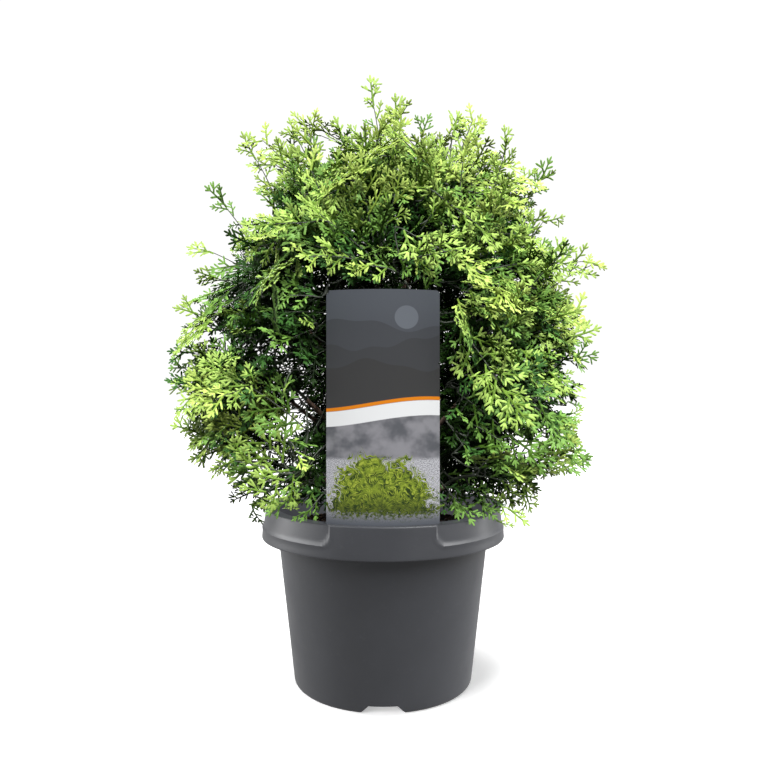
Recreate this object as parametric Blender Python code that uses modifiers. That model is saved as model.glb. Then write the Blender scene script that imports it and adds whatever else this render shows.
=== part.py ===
"""A young hinoki cypress in a plain nursery pot with a picture card, at its real size.

Metres, +Z up. The pot stands on the XY plane, its axis is the Z axis, and the card
stands at the front, towards -Y. Run with: blender --background --python part.py
"""
import math
import random
from collections import namedtuple

import bmesh
import bpy
import numpy as np
from mathutils import Matrix, Vector

UP = Vector((0, 0, 1))

# Space left between neighbouring solids.
GAP = 0.0003

# The pot: a turned shell with a folded collar, from the foot up.
POT_HEIGHT = 0.136
POT_SIDES = 36
WALL = 0.0018
FOOT_RADIUS = 0.0695
FOOT_ROUNDING = 0.003
FOOT_RING = 0.006
FOOT_RECESS = 0.007
BODY_TOP_RADIUS = 0.0848
LEDGE = 0.0022
COLLAR_HEIGHT = 0.023
COLLAR_RADIUS = 0.095
COLLAR_TOP_RADIUS = 0.0934
COLLAR_INSIDE_TOP = 0.0898
COLLAR_INSIDE_FOOT = 0.0925

# Three label pockets stand proud of the collar, with sunk windows between them.
POCKETS = 3
POCKET_HALF_ANGLE = math.radians(23)
WINDOW_DEPTH = 0.0136
WINDOW_TOP_RADIUS = 0.0916
WINDOW_FOOT_RADIUS = 0.0938

# Three notches in the foot let water out, and five holes drain the base.
NOTCHES = 3
NOTCH_HEIGHT = 0.006
NOTCH_TOP_WIDTH = 0.0206
NOTCH_FOOT_WIDTH = 0.0326
DRAIN_RADIUS = 0.006
DRAIN_CIRCLE = 0.042
DRAINS_ON_CIRCLE = 4

# The potting soil fills the pot to a little below the rim.
SOIL_BELOW_RIM = 0.016
SOIL_RISE = 0.003

# The card is bent to the collar's round and slips into the front pocket's slot.
CARD_RADIUS = 0.0881
CARD_THICKNESS = 0.0006
CARD_WIDTH = 0.0775
CARD_TOP = 0.2955
CARD_FOOT = 0.116
SLOT_WIDTH = 0.0016
SLOT_EXTRA_ANGLE = math.radians(1.5)

# The trunk, from the soil to the leader at the top of the crown.
TRUNK_TOP = 0.372
TRUNK_FOOT_RADIUS = 0.0085
TRUNK_TIP_RADIUS = 0.0016
FLARE_RADIUS = 0.0125
FLARE_HEIGHT = 0.014
TRUNK_SWAY = 0.005
TRUNK_POINTS = 12

# The crown is a rounded dome, flatter in front and undercut above the rim.
CROWN_MIDDLE = 0.215
CROWN_SIDE = 0.159
CROWN_FRONT = 0.128
CROWN_BACK = 0.142
CROWN_UP = 0.222
CROWN_DOWN = 0.098
CROWN_POWER = 2.5
CROWN_REACH = 1.045

# Each tier of boughs: name, height of its masses, how many, first and last azimuth in
# degrees, share of the crown's reach, height on the trunk, bough radius. The two lowest
# tiers leave the front to the card.
TIERS = (
    ("skirt", 0.168, 6, -46, 226, 0.72, 0.131, 0.0032),
    ("lower", 0.236, 6, -40, 220, 0.70, 0.160, 0.0033),
    ("middle", 0.312, 5, -90, 198, 0.66, 0.204, 0.0029),
    ("upper", 0.376, 4, -45, 225, 0.60, 0.266, 0.0022),
)
TIER_SPIRAL = 0.004
AZIMUTH_JITTER = 4
LEADER_HEIGHT = 0.410

# Masses close to the trunk, which bears them itself: azimuth, radius, height, and the
# height of their stem on the trunk.
INNER = (
    (-90, 0.040, 0.246, 0.193),
    (84, 0.030, 0.272, 0.230),
)

# The boughs bend down a little on their way and taper to the masses' stems.
BOUGH_TIP_RADIUS = 0.0014
BOUGH_SAG = 0.010
BOUGH_POINTS = 5
BOUGH_SHORT_OF_MASS = 0.032

# Foliage: each mass is a stem, a small core and flat toothed sprays on three-sided twigs
# that stand out of it. Many sprays are tried at each mass, the widest that stay inside the
# mass's own space are kept, and no two of them end close together.
SEED = 11
STEM_RADIUS = 0.0013
TWIG_RADIUS = 0.0010
TWIG_TIP_RADIUS = 0.0006
CORE_SHARE = 0.46
CORE_MOST = 0.026
CORE_ROUGHNESS = 0.14
SPRAY_TRIES = 150
SPRAYS_MOST = 7
SPRAY_LENGTH = 0.084
SPRAY_SIZES = (1.0, 0.88, 0.77, 0.67, 0.58, 0.50, 0.42)
SPRAY_TEETH_A_SIDE = 2
SPRAY_WIDTH = 0.36
SPRAY_THICKNESS = 0.018
SPRAY_SUNK_START = 0.008
SPRAY_TWIG_START = 0.030
SHARE_ON_TWIGS = 0.3
SPRAY_SPACING = 0.42
SPRAY_TURN_BACK = -0.45
CELL_MARGIN = 0.0008
LIMB_CLEARANCE = 0.0016
POT_CLEARANCE = 0.0025
CARD_CLEARANCE = 0.004

# The longest shoots, past the dome: azimuth in degrees, radius, height.
SHOOTS = (
    (0, 0.0160, 0.4735),
    (8, 0.1770, 0.2930),
    (-6, 0.1690, 0.3370),
    (10, 0.1690, 0.1850),
    (176, 0.1760, 0.2700),
    (186, 0.1600, 0.1850),
    (172, 0.1340, 0.3830),
    (190, 0.1080, 0.4270),
    (215, 0.0740, 0.4440),
    (-24, 0.0790, 0.4460),
    (15, 0.1220, 0.4200),
    (94, 0.1500, 0.2500),
    (-70, 0.1590, 0.3150),
    (-110, 0.1590, 0.3200),
    (60, 0.1500, 0.3400),
    (130, 0.1480, 0.3300),
    (75, 0.0920, 0.4300),
    (115, 0.1620, 0.1900),
    (-40, 0.1640, 0.2150),
    (-142, 0.1620, 0.2250),
)

Mass = namedtuple("Mass", "name centre bough stem dense")
Limb = namedtuple("Limb", "points radii")
Spray = namedtuple("Spray", "root axis normal length")
Space = namedtuple("Space", "centre others starts alongs radii")


def around(azimuth, radius, height):
    """The point at that azimuth, in degrees from +X, radius and height."""
    turn = math.radians(azimuth)
    return Vector((radius * math.cos(turn), radius * math.sin(turn), height))


def clear_scene():
    for old in list(bpy.data.objects):
        bpy.data.objects.remove(old)


def make_collection(name, parent=None):
    made = bpy.data.collections.new(name)
    (parent or bpy.context.scene.collection).children.link(made)
    return made


def link_mesh(name, mesh, collection, material=None):
    made = bpy.data.objects.new(name, mesh)
    collection.objects.link(made)
    if material:
        mesh.materials.clear()
        mesh.materials.append(material)
    return made


def plain_material(name, colour, roughness):
    made = bpy.data.materials.new(name)
    made.use_nodes = True
    shader = made.node_tree.nodes["Principled BSDF"]
    shader.inputs["Base Color"].default_value = (*colour, 1)
    shader.inputs["Roughness"].default_value = roughness
    shader.inputs["Metallic"].default_value = 0
    made.diffuse_color = (*colour, 1)
    return made


def solid_mesh(obj):
    """The object's evaluated mesh, welded, with its transform applied. The object is removed."""
    bpy.context.view_layer.update()
    graph = bpy.context.evaluated_depsgraph_get()
    mesh = bpy.data.meshes.new_from_object(obj.evaluated_get(graph))
    mesh.transform(obj.matrix_world)
    work = bmesh.new()
    work.from_mesh(mesh)
    bmesh.ops.remove_doubles(work, verts=work.verts, dist=1e-6)
    work.to_mesh(mesh)
    work.free()
    bpy.data.objects.remove(obj)
    return mesh


def turned(name, profile, sides, collection):
    """A closed solid turned about Z from a profile that runs up its inside and down its outside."""
    mesh = bpy.data.meshes.new(name)
    points = [(radius, 0, height) for radius, height in profile]
    edges = [(i, i + 1) for i in range(len(points) - 1)]
    on_axis = profile[0][0] == 0
    if not on_axis:
        edges.append((len(points) - 1, 0))
    mesh.from_pydata(points, edges, [])
    obj = link_mesh(name, mesh, collection)
    screw = obj.modifiers.new("turn", "SCREW")
    screw.axis = "Z"
    screw.steps = screw.render_steps = sides
    screw.use_merge_vertices = True
    screw.merge_threshold = 0.0001
    return obj


def flat_plate(name, outline, thickness, collection):
    """A 2D outline of a list of (x, y) points, filled and given its thickness about Z = 0."""
    curve = bpy.data.curves.new(name, "CURVE")
    curve.dimensions = "2D"
    curve.fill_mode = "BOTH"
    curve.extrude = thickness / 2
    spline = curve.splines.new("POLY")
    spline.points.add(len(outline) - 1)
    for point, (x, y) in zip(spline.points, outline):
        point.co = (x, y, 0, 1)
    spline.use_cyclic_u = True
    obj = bpy.data.objects.new(name, curve)
    collection.objects.link(obj)
    return obj


def ring_sector(inner, outer, middle, half_angle, steps):
    """The outline of a piece of a flat ring, centred on azimuth middle, in radians."""
    turns = [middle - half_angle + 2 * half_angle * i / steps for i in range(steps + 1)]
    outside = [(outer * math.cos(t), outer * math.sin(t)) for t in turns]
    inside = [(inner * math.cos(t), inner * math.sin(t)) for t in reversed(turns)]
    return outside + inside


def boolean(obj, other, operation):
    """Applies one Boolean on obj and returns the new object. The other object is removed."""
    cut = obj.modifiers.new(operation.lower(), "BOOLEAN")
    cut.operation = operation
    cut.object = other
    name, collection = obj.name, obj.users_collection[0]
    mesh = solid_mesh(obj)
    bpy.data.objects.remove(other)
    return link_mesh(name, mesh, collection)


def body_radius(height):
    """Outer radius of the pot's tapered body at a height above the ground."""
    return FOOT_RADIUS + (BODY_TOP_RADIUS - FOOT_RADIUS) * height / POT_HEIGHT


def pot_profile():
    """The pot's wall, from the middle of its floor up the inside and down the outside."""
    inner_foot = FOOT_RADIUS - FOOT_RING
    floor = FOOT_RECESS + WALL
    ledge = POT_HEIGHT - LEDGE
    collar_foot = POT_HEIGHT - COLLAR_HEIGHT
    return [
        (0, floor),
        (inner_foot - WALL, floor),
        (body_radius(floor) - 1.6 * WALL, floor + WALL),
        (BODY_TOP_RADIUS - WALL, POT_HEIGHT - 0.4 * WALL),
        (BODY_TOP_RADIUS - 0.4 * WALL, POT_HEIGHT),
        (COLLAR_TOP_RADIUS - 0.5 * WALL, POT_HEIGHT),
        (COLLAR_TOP_RADIUS, POT_HEIGHT - 0.6 * WALL),
        (COLLAR_RADIUS, collar_foot + 0.5 * WALL),
        (COLLAR_RADIUS - 0.5 * WALL, collar_foot),
        (COLLAR_INSIDE_FOOT, collar_foot),
        (COLLAR_INSIDE_TOP, ledge),
        (body_radius(ledge), ledge),
        (body_radius(FOOT_ROUNDING * 2), FOOT_ROUNDING * 2),
        (FOOT_RADIUS - 0.1 * FOOT_ROUNDING, FOOT_ROUNDING * 0.8),
        (FOOT_RADIUS - FOOT_ROUNDING * 0.6, 0),
        (inner_foot, 0),
        (inner_foot - 0.001, FOOT_RECESS),
        (0, FOOT_RECESS),
    ]


def window_cutter(middle, collection):
    """The sunk window in the collar between two pockets: a turned ring kept to one sector."""
    foot = POT_HEIGHT - WINDOW_DEPTH
    beyond = COLLAR_RADIUS + 0.006
    lift = 0.004
    slope = (WINDOW_FOOT_RADIUS - WINDOW_TOP_RADIUS) / WINDOW_DEPTH
    ring = turned(
        "window_ring",
        [
            (WINDOW_FOOT_RADIUS, foot),
            (WINDOW_TOP_RADIUS - slope * lift, POT_HEIGHT + lift),
            (beyond, POT_HEIGHT + lift),
            (beyond, foot),
        ],
        POT_SIDES,
        collection,
    )
    half = math.pi / POCKETS - POCKET_HALF_ANGLE
    outline = ring_sector(COLLAR_RADIUS * 0.8, COLLAR_RADIUS * 1.2, middle, half, 8)
    sector = flat_plate("window_sector", outline, POT_HEIGHT, collection)
    sector.location.z = POT_HEIGHT
    sector = link_mesh("window_sector", solid_mesh(sector), collection)
    return boolean(ring, sector, "INTERSECT")


def notch_cutter(azimuth, collection):
    """A trapezoid bar from the axis out through the foot ring, which cuts one notch."""
    depth = 0.004
    flare = (NOTCH_FOOT_WIDTH - NOTCH_TOP_WIDTH) / 2 / NOTCH_HEIGHT * depth
    outline = [
        (-NOTCH_FOOT_WIDTH / 2 - flare, -depth),
        (NOTCH_FOOT_WIDTH / 2 + flare, -depth),
        (NOTCH_TOP_WIDTH / 2, NOTCH_HEIGHT),
        (-NOTCH_TOP_WIDTH / 2, NOTCH_HEIGHT),
    ]
    bar = flat_plate("notch", outline, 1.5 * FOOT_RADIUS, collection)
    bar.rotation_euler = (math.pi / 2, 0, math.radians(azimuth + 90))
    bar.location = around(azimuth, 0.75 * FOOT_RADIUS, 0)
    return link_mesh("notch", solid_mesh(bar), collection)


def make_pot(parts, cutters, material):
    pot = turned("pot", pot_profile(), POT_SIDES, parts)
    pot = link_mesh("pot", solid_mesh(pot), parts)
    for i in range(POCKETS):
        middle = -math.pi / 2 + math.pi / POCKETS * (2 * i + 1)
        pot = boolean(pot, window_cutter(middle, cutters), "DIFFERENCE")
    for i in range(NOTCHES):
        pot = boolean(pot, notch_cutter(-90 + 360 / NOTCHES * i, cutters), "DIFFERENCE")
    for i in range(DRAINS_ON_CIRCLE + 1):
        place = around(45 + 90 * i, DRAIN_CIRCLE if i < DRAINS_ON_CIRCLE else 0, FOOT_RECESS)
        bpy.ops.mesh.primitive_cylinder_add(
            vertices=12, radius=DRAIN_RADIUS, depth=4 * WALL, location=place
        )
        drill = bpy.context.object
        drill = link_mesh("drain", solid_mesh(drill), cutters)
        pot = boolean(pot, drill, "DIFFERENCE")
    slot = flat_plate(
        "slot",
        ring_sector(
            CARD_RADIUS - SLOT_WIDTH / 2,
            CARD_RADIUS + SLOT_WIDTH / 2,
            -math.pi / 2,
            card_half_angle() + SLOT_EXTRA_ANGLE,
            10,
        ),
        6 * LEDGE,
        cutters,
    )
    slot.location.z = POT_HEIGHT
    slot = link_mesh("slot", solid_mesh(slot), cutters)
    pot = boolean(pot, slot, "DIFFERENCE")
    pot.name = "pot"
    pot.data.materials.append(material)
    return pot


def card_half_angle():
    return math.asin(CARD_WIDTH / 2 / CARD_RADIUS)


def make_card(parts, material):
    outline = ring_sector(
        CARD_RADIUS - CARD_THICKNESS / 2,
        CARD_RADIUS + CARD_THICKNESS / 2,
        -math.pi / 2,
        card_half_angle(),
        10,
    )
    card = flat_plate("picture_card", outline, CARD_TOP - CARD_FOOT, parts)
    card.location.z = (CARD_TOP + CARD_FOOT) / 2
    return link_mesh("picture_card", solid_mesh(card), parts, material)


def soil_level():
    return POT_HEIGHT - SOIL_BELOW_RIM


def make_soil(parts, material):
    floor = FOOT_RECESS + WALL + GAP
    side = WALL + 2 * GAP
    top = soil_level()
    profile = [
        (0, floor),
        (FOOT_RADIUS - FOOT_RING - 2 * WALL, floor),
        (body_radius(floor) - 1.6 * WALL - 3 * GAP, floor + WALL),
        (body_radius(top) - side, top - SOIL_RISE),
        (0.7 * body_radius(top), top - 0.4 * SOIL_RISE),
        (0.3 * body_radius(top), top),
        (0, top),
    ]
    profile.reverse()
    soil = turned("potting_soil", profile, POT_SIDES, parts)
    return link_mesh("potting_soil", solid_mesh(soil), parts, material)


def trunk_centre(height):
    """The trunk leans a little one way and back as it rises."""
    rise = (height - soil_level()) / (TRUNK_TOP - soil_level())
    return Vector(
        (
            -TRUNK_SWAY * math.sin(math.pi * rise),
            0.7 * TRUNK_SWAY * math.sin(1.6 * math.pi * rise),
            height,
        )
    )


def trunk_radius(height):
    rise = (height - soil_level()) / (TRUNK_TOP - soil_level())
    shaft = TRUNK_FOOT_RADIUS + (TRUNK_TIP_RADIUS - TRUNK_FOOT_RADIUS) * rise
    flare = math.exp(-(height - soil_level()) / (FLARE_HEIGHT / 2))
    return shaft + (FLARE_RADIUS - TRUNK_FOOT_RADIUS) * flare


def trunk_limb(grow=0.0):
    """The trunk's centre line and radii, grown all round to cut its neighbours clear of it."""
    foot = soil_level() + GAP
    rises = [(i / (TRUNK_POINTS - 1)) ** 1.25 for i in range(TRUNK_POINTS)]
    heights = [foot + (TRUNK_TOP - foot) * rise for rise in rises]
    points = [trunk_centre(h) for h in heights]
    points[0].xy = points[1].xy
    radii = [trunk_radius(h) + grow for h in heights]
    points[-1].z += grow
    return Limb(points, radii)


def limb_mesh(name, limb, resolution, collection):
    """A tapering limb: a round curve through its points, with filled caps, made a mesh."""
    curve = bpy.data.curves.new(name, "CURVE")
    curve.dimensions = "3D"
    curve.bevel_depth = 1.0
    curve.bevel_resolution = resolution
    curve.use_fill_caps = True
    spline = curve.splines.new("POLY")
    spline.points.add(len(limb.points) - 1)
    for point, place, radius in zip(spline.points, limb.points, limb.radii):
        point.co = (*place, 1)
        point.radius = radius
    obj = bpy.data.objects.new(name, curve)
    collection.objects.link(obj)
    return link_mesh(name, solid_mesh(obj), collection)


def crown_measures(points):
    """For each point 0 at the crown's middle and 1 on its outline, a dome of superellipses."""
    x, y, z = np.asarray(points, float).T
    above = z - CROWN_MIDDLE
    tall = np.abs(above) / np.where(above > 0, CROWN_UP, CROWN_DOWN)
    flat = np.hypot(x / CROWN_SIDE, y / np.where(y < 0, CROWN_FRONT, CROWN_BACK))
    return (flat**CROWN_POWER + tall**CROWN_POWER) ** (1 / CROWN_POWER)


def crown_measure(point):
    return float(crown_measures([point])[0])


def outward(point):
    """The direction in which the crown's outline lies nearest to a point."""
    step = 0.001
    here = crown_measure(point)
    slope = Vector(
        [crown_measure(point + Vector(unit) * step) - here for unit in ((1, 0, 0), (0, 1, 0), (0, 0, 1))]
    )
    return slope.normalized()


def spread_directions(count, turn):
    """Directions spread evenly over a ball, by the golden angle."""
    golden = math.pi * (3 - math.sqrt(5))
    for i in range(count):
        z = 1 - (2 * i + 1) / count
        flat = math.sqrt(1 - z * z)
        angle = i * golden + turn
        yield Vector((flat * math.cos(angle), flat * math.sin(angle), z))


def plan_masses():
    """The masses of foliage, in tiers round the trunk, and the bough that bears each."""
    draw = random.Random(SEED)
    masses = []
    for tier, height, count, first, last, share, start, radius in TIERS:
        for i in range(count):
            azimuth = first + (last - first) / (count - 1) * i
            azimuth += draw.uniform(-AZIMUTH_JITTER, AZIMUTH_JITTER)
            level = around(azimuth, 1.0, 0)
            reach = crown_reach_at(level, height + draw.uniform(-0.006, 0.006))
            centre = Vector((level.x * reach * share, level.y * reach * share, height))
            root = trunk_centre(start + TIER_SPIRAL * i)
            bough = plan_bough(root, centre, radius)
            masses.append(Mass(f"{tier}_{i + 1}", centre, bough, tip_of(bough), True))
    for i, (azimuth, radius, height, start) in enumerate(INNER):
        way = (around(azimuth, 1.0, 0.4)).normalized()
        root = trunk_centre(start) + around(azimuth, trunk_radius(start) + GAP * 2, 0)
        centre = around(azimuth, radius, height)
        masses.append(Mass(f"inner_{i + 1}", centre, None, (root, way), True))
    leader = Vector((0, 0, LEADER_HEIGHT))
    masses.append(Mass("leader", leader, None, tip_of(trunk_limb()), True))
    return masses


def tip_of(limb):
    """Where a stem starts off a limb's tip, and the way it leaves."""
    way = (limb.points[-1] - limb.points[-2]).normalized()
    return limb.points[-1] + way * GAP, way


def crown_reach_at(level, height):
    """How far the crown's outline lies from the axis, in a level direction at a height."""
    low, high = 0.0, 0.3
    for _ in range(24):
        middle = (low + high) / 2
        if crown_measure(level * middle + UP * height) < 1:
            low = middle
        else:
            high = middle
    return low


def plan_bough(root, centre, radius):
    """A limb from inside the trunk to just short of its mass, bending up on the way."""
    tip = centre + (root - centre).normalized() * BOUGH_SHORT_OF_MASS
    bend = (root + tip) / 2 - UP * BOUGH_SAG
    points, radii = [], []
    for i in range(BOUGH_POINTS):
        t = i / (BOUGH_POINTS - 1)
        points.append(root * (1 - t) ** 2 + bend * 2 * t * (1 - t) + tip * t * t)
        radii.append(radius + (BOUGH_TIP_RADIUS - radius) * t**0.8)
    return Limb(points, radii)


def space_of(mass, masses, limbs):
    """What bounds a mass's own space: the middles of the others, and the limbs that come near."""
    centre = np.array(mass.centre)
    others = np.array([other.centre for other in masses if other is not mass])
    others = others[np.linalg.norm(others - centre, axis=1) < 0.2]
    starts = np.vstack([limb.points[:-1] for limb in limbs])
    alongs = np.vstack([limb.points[1:] for limb in limbs]) - starts
    radii = np.hstack([limb.radii[:-1] for limb in limbs])
    near = np.linalg.norm(starts - centre, axis=1) < 0.11
    return Space(centre, others, starts[near], alongs[near], radii[near])


def clear_of_limbs(points, space):
    """Which points keep their distance from the trunk and the boughs."""
    away = points[:, None] - space.starts
    t = (away * space.alongs).sum(2) / (space.alongs * space.alongs).sum(1)
    apart = np.linalg.norm(away - space.alongs * np.clip(t, 0, 1)[..., None], axis=2)
    return (apart > space.radii + LIMB_CLEARANCE).all(1)


def in_cell(points, space):
    """Which points are nearer to this mass than to any other, with a margin."""
    mine = ((points - space.centre) ** 2).sum(1)
    theirs = ((points[:, None] - space.others) ** 2).sum(2)
    apart = np.linalg.norm(space.others - space.centre, axis=1)
    return (theirs - mine[:, None] > 2 * CELL_MARGIN * apart).all(1)


def clear_of_pot_and_card(points):
    x, y, z = points.T
    by_pot = (z < POT_HEIGHT + POT_CLEARANCE) & (np.hypot(x, y) < COLLAR_RADIUS + POT_CLEARANCE)
    card_front = -CARD_RADIUS * math.cos(card_half_angle()) + CARD_CLEARANCE
    by_card = (np.abs(x) < CARD_WIDTH / 2 + CARD_CLEARANCE) & (y < card_front)
    return ~(by_pot | (by_card & (z < CARD_TOP + CARD_CLEARANCE)))


def free(points, space, reach=CROWN_REACH):
    """Which points are inside a mass's own space."""
    return (
        (crown_measures(points) < reach)
        & clear_of_pot_and_card(points)
        & in_cell(points, space)
        & clear_of_limbs(points, space)
    )


def room(way, space):
    """How far one can go from the middle of a mass, in a direction, inside its own space."""
    steps = np.arange(0.004, 0.120, 0.002)
    inside = free(space.centre + steps[:, None] * np.array(way), space)
    return float(steps[-1] if inside.all() else steps[np.argmin(inside)])


def spray_outline():
    """A flat spray as a blade of length 1: a stalk, teeth that lean forward, and a tip."""
    side = [(0, 0.035)]
    for i in range(SPRAY_TEETH_A_SIDE):
        along = (i + 0.9) / (SPRAY_TEETH_A_SIDE + 0.9)
        width = SPRAY_WIDTH * math.sin(math.pi * (0.22 + 0.72 * along)) ** 0.6
        side.append((along + 0.08, width))
        side.append((along + 0.10, 0.42 * width))
    return side + [(1, 0)] + [(x, -y) for x, y in reversed(side)]


def spray_frame(spray):
    """The matrix that puts a blade of length 1 in its place."""
    side = spray.normal.cross(spray.axis)
    turn = Matrix((spray.axis, side, spray.normal)).transposed().to_4x4()
    return Matrix.Translation(spray.root) @ turn @ Matrix.Scale(spray.length, 4)


def spray_points(spray, outline):
    """Points spread over a spray's blade, to test where it reaches."""
    steps = np.array((0, 1 / 3, 2 / 3))[:, None, None]
    edge = (outline * (1 - steps) + np.roll(outline, -1, 0) * steps).reshape(-1, 2)
    shares = np.linspace(0.1, 1, 12)[:, None, None]
    flat = np.array((0.4, 0)) * (1 - shares) + edge * shares
    x, y = flat.reshape(-1, 2).T[..., None] * spray.length
    side = np.array(spray.normal.cross(spray.axis))
    return np.array(spray.root) + x * np.array(spray.axis) + y * side


def widest_spray(aim, space, outline, reach=CROWN_REACH):
    """The largest spray of an aim, a function of its length, that stays in the mass's space."""
    for size in SPRAY_SIZES:
        spray = aim(SPRAY_LENGTH * size)
        tips = spray_points(spray, outline[::2])[-len(outline) :]
        if free(tips, space, reach).all() and free(spray_points(spray, outline), space, reach).all():
            return spray
    return None


def core_shape(mass, space, draw):
    """The corners and faces of a mass's core, a share of the room that it has on each side."""
    work = bmesh.new()
    bmesh.ops.create_icosphere(work, subdivisions=2, radius=1)
    ways = np.array([vert.co for vert in work.verts])
    faces = [[vert.index for vert in face.verts] for face in work.faces]
    work.free()
    reach = np.array([min(CORE_MOST, CORE_SHARE * room(way, space)) for way in ways])
    reach *= [1 + draw.uniform(-CORE_ROUGHNESS, CORE_ROUGHNESS) for _ in ways]
    while reach.max() > 0.005:
        corners = space.centre + ways * reach[:, None]
        middles = [corners[face].mean(0) for face in faces]
        edges = [corners[[face[i], face[i - 1]]].mean(0) for face in faces for i in range(3)]
        if free(np.vstack((corners, middles, edges)), space).all():
            return corners, faces
        reach *= 0.85
    return None


def plan_mass(mass, masses, limbs, shoots):
    """The stem, core, twigs and sprays of one mass, each kept only where it fits."""
    draw = random.Random(f"{SEED} {mass.name}")
    space = space_of(mass, masses, limbs)
    outline = np.array(spray_outline())
    core = core_shape(mass, space, draw) if mass.dense else None
    sprays = []
    for place in shoots:
        axis = (place - mass.centre).normalized()
        side = axis.cross(UP).normalized()
        normal = (side.cross(axis) + side * 0.6).normalized()
        found = widest_spray(
            lambda length: Spray(place - axis * length, axis, normal, length), space, outline, 2.0
        )
        if found:
            sprays.append(found)
    sprays += choose_sprays(mass, space, outline, draw, len(sprays))
    root, way = mass.stem
    knee = root + way * (mass.centre - root).length * 0.4
    twigs = [
        (root, knee, STEM_RADIUS, STEM_RADIUS * 0.9),
        (knee, mass.centre, STEM_RADIUS * 0.9, TWIG_RADIUS),
    ]
    for spray in sprays:
        if not core or (spray.root - mass.centre).length > SPRAY_TWIG_START / 2:
            end = spray.root + spray.axis * spray.length * 0.2
            twigs.append((mass.centre, end, TWIG_RADIUS, TWIG_TIP_RADIUS))
    return twigs, core, sprays


def choose_sprays(mass, space, outline, draw, already):
    """Tries many sprays round a mass's middle and keeps the widest that end well apart."""
    out = outward(mass.centre)
    lift = 0.45 * max(0.0, out.z) - 0.35 * (1 - abs(out.z))
    face_out = out.to_track_quat("Z", "Y")
    tried = []
    for spread in spread_directions(SPRAY_TRIES, draw.uniform(0, 6)):
        if spread.z < SPRAY_TURN_BACK:
            continue
        way = face_out @ spread
        axis = (way + UP * lift + random_vector(draw, 0.15)).normalized()
        normal = out + UP * 0.5 + random_vector(draw, 0.35)
        normal = (normal - axis * normal.dot(axis)).normalized()
        on_twig = not mass.dense or draw.random() < SHARE_ON_TWIGS
        away = SPRAY_TWIG_START if on_twig else SPRAY_SUNK_START
        start = mass.centre + way * away * draw.uniform(0.8, 1.2)
        found = widest_spray(lambda length: Spray(start, axis, normal, length), space, outline)
        if found:
            tried.append(found)
    tried.sort(key=lambda spray: -spray.length)
    kept = []
    for spray in tried:
        tip = spray.root + spray.axis * spray.length
        spaced = all(
            (tip - other.root - other.axis * other.length).length > SPRAY_SPACING * other.length
            for other in kept
        )
        if spaced and len(kept) + already < SPRAYS_MOST:
            kept.append(spray)
    return kept


def random_vector(draw, size):
    return Vector([draw.uniform(-size, size) for _ in range(3)])


def twig_object(start, end, first, last, collection):
    """A straight three-sided twig, a cone between two points."""
    work = bmesh.new()
    along = end - start
    bmesh.ops.create_cone(
        work, segments=3, radius1=first, radius2=last, depth=along.length, cap_ends=True
    )
    mesh = bpy.data.meshes.new("twig")
    work.to_mesh(mesh)
    work.free()
    turn = along.to_track_quat("Z", "Y").to_matrix().to_4x4()
    mesh.transform(Matrix.Translation((start + end) / 2) @ turn)
    return link_mesh("twig", mesh, collection)


def largest_body(mesh):
    """Drops every loose scrap and sealed hollow from a fused mesh."""
    work = bmesh.new()
    work.from_mesh(mesh)
    left, bodies = set(work.faces), []
    while left:
        body, border = set(), [left.pop()]
        while border:
            face = border.pop()
            body.add(face)
            for edge in face.edges:
                for other in edge.link_faces:
                    if other in left:
                        left.discard(other)
                        border.append(other)
        bodies.append(body)
    keep = max(bodies, key=len)
    bmesh.ops.delete(work, geom=[f for f in work.faces if f not in keep], context="FACES")
    work.to_mesh(mesh)
    work.free()
    return mesh


def make_mass(mass, twigs, core, sprays, blade, parts, cutters, material):
    """Fuses one mass of foliage: its stem, core, twigs and sprays become one solid."""
    group = make_collection(f"fused_{mass.name}", cutters)
    stem = twig_object(*twigs[0], cutters)
    for twig in twigs[1:]:
        twig_object(*twig, group)
    for spray in sprays:
        leaf = link_mesh("spray", blade.copy(), group)
        leaf.data.transform(spray_frame(spray))
    if core:
        lump = bpy.data.meshes.new("core")
        lump.from_pydata(core[0].tolist(), [], core[1])
        link_mesh("core", lump, group)
    join = stem.modifiers.new("fuse", "BOOLEAN")
    join.operation = "UNION"
    join.operand_type = "COLLECTION"
    join.collection = group
    join.solver = "MANIFOLD"
    mesh = largest_body(solid_mesh(stem))
    for piece in list(group.objects):
        bpy.data.objects.remove(piece)
    bpy.data.collections.remove(group)
    return link_mesh(f"foliage_{mass.name}", mesh, parts, material)


def nearest_mass(point, masses):
    return min(masses, key=lambda mass: (mass.centre - point).length_squared)


def make_tree(parts, cutters, bark, green):
    trunk = trunk_limb()
    made = limb_mesh("trunk", trunk, 2, parts)
    made.data.materials.append(bark)
    masses = plan_masses()
    limbs = [trunk] + [mass.bough for mass in masses if mass.bough]
    for mass in masses:
        if mass.bough:
            bough = limb_mesh(f"bough_{mass.name}", mass.bough, 1, parts)
            bough = boolean(bough, limb_mesh("trunk_space", trunk_limb(GAP), 2, cutters), "DIFFERENCE")
            bough.name = f"bough_{mass.name}"
            bough.data.materials.append(bark)
    blade = solid_mesh(flat_plate("spray", spray_outline(), SPRAY_THICKNESS, cutters))
    shoots = [around(*shoot) for shoot in SHOOTS]
    for mass in masses:
        mine = [place for place in shoots if nearest_mass(place, masses) is mass]
        make_mass(mass, *plan_mass(mass, masses, limbs, mine), blade, parts, cutters, green)


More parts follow.
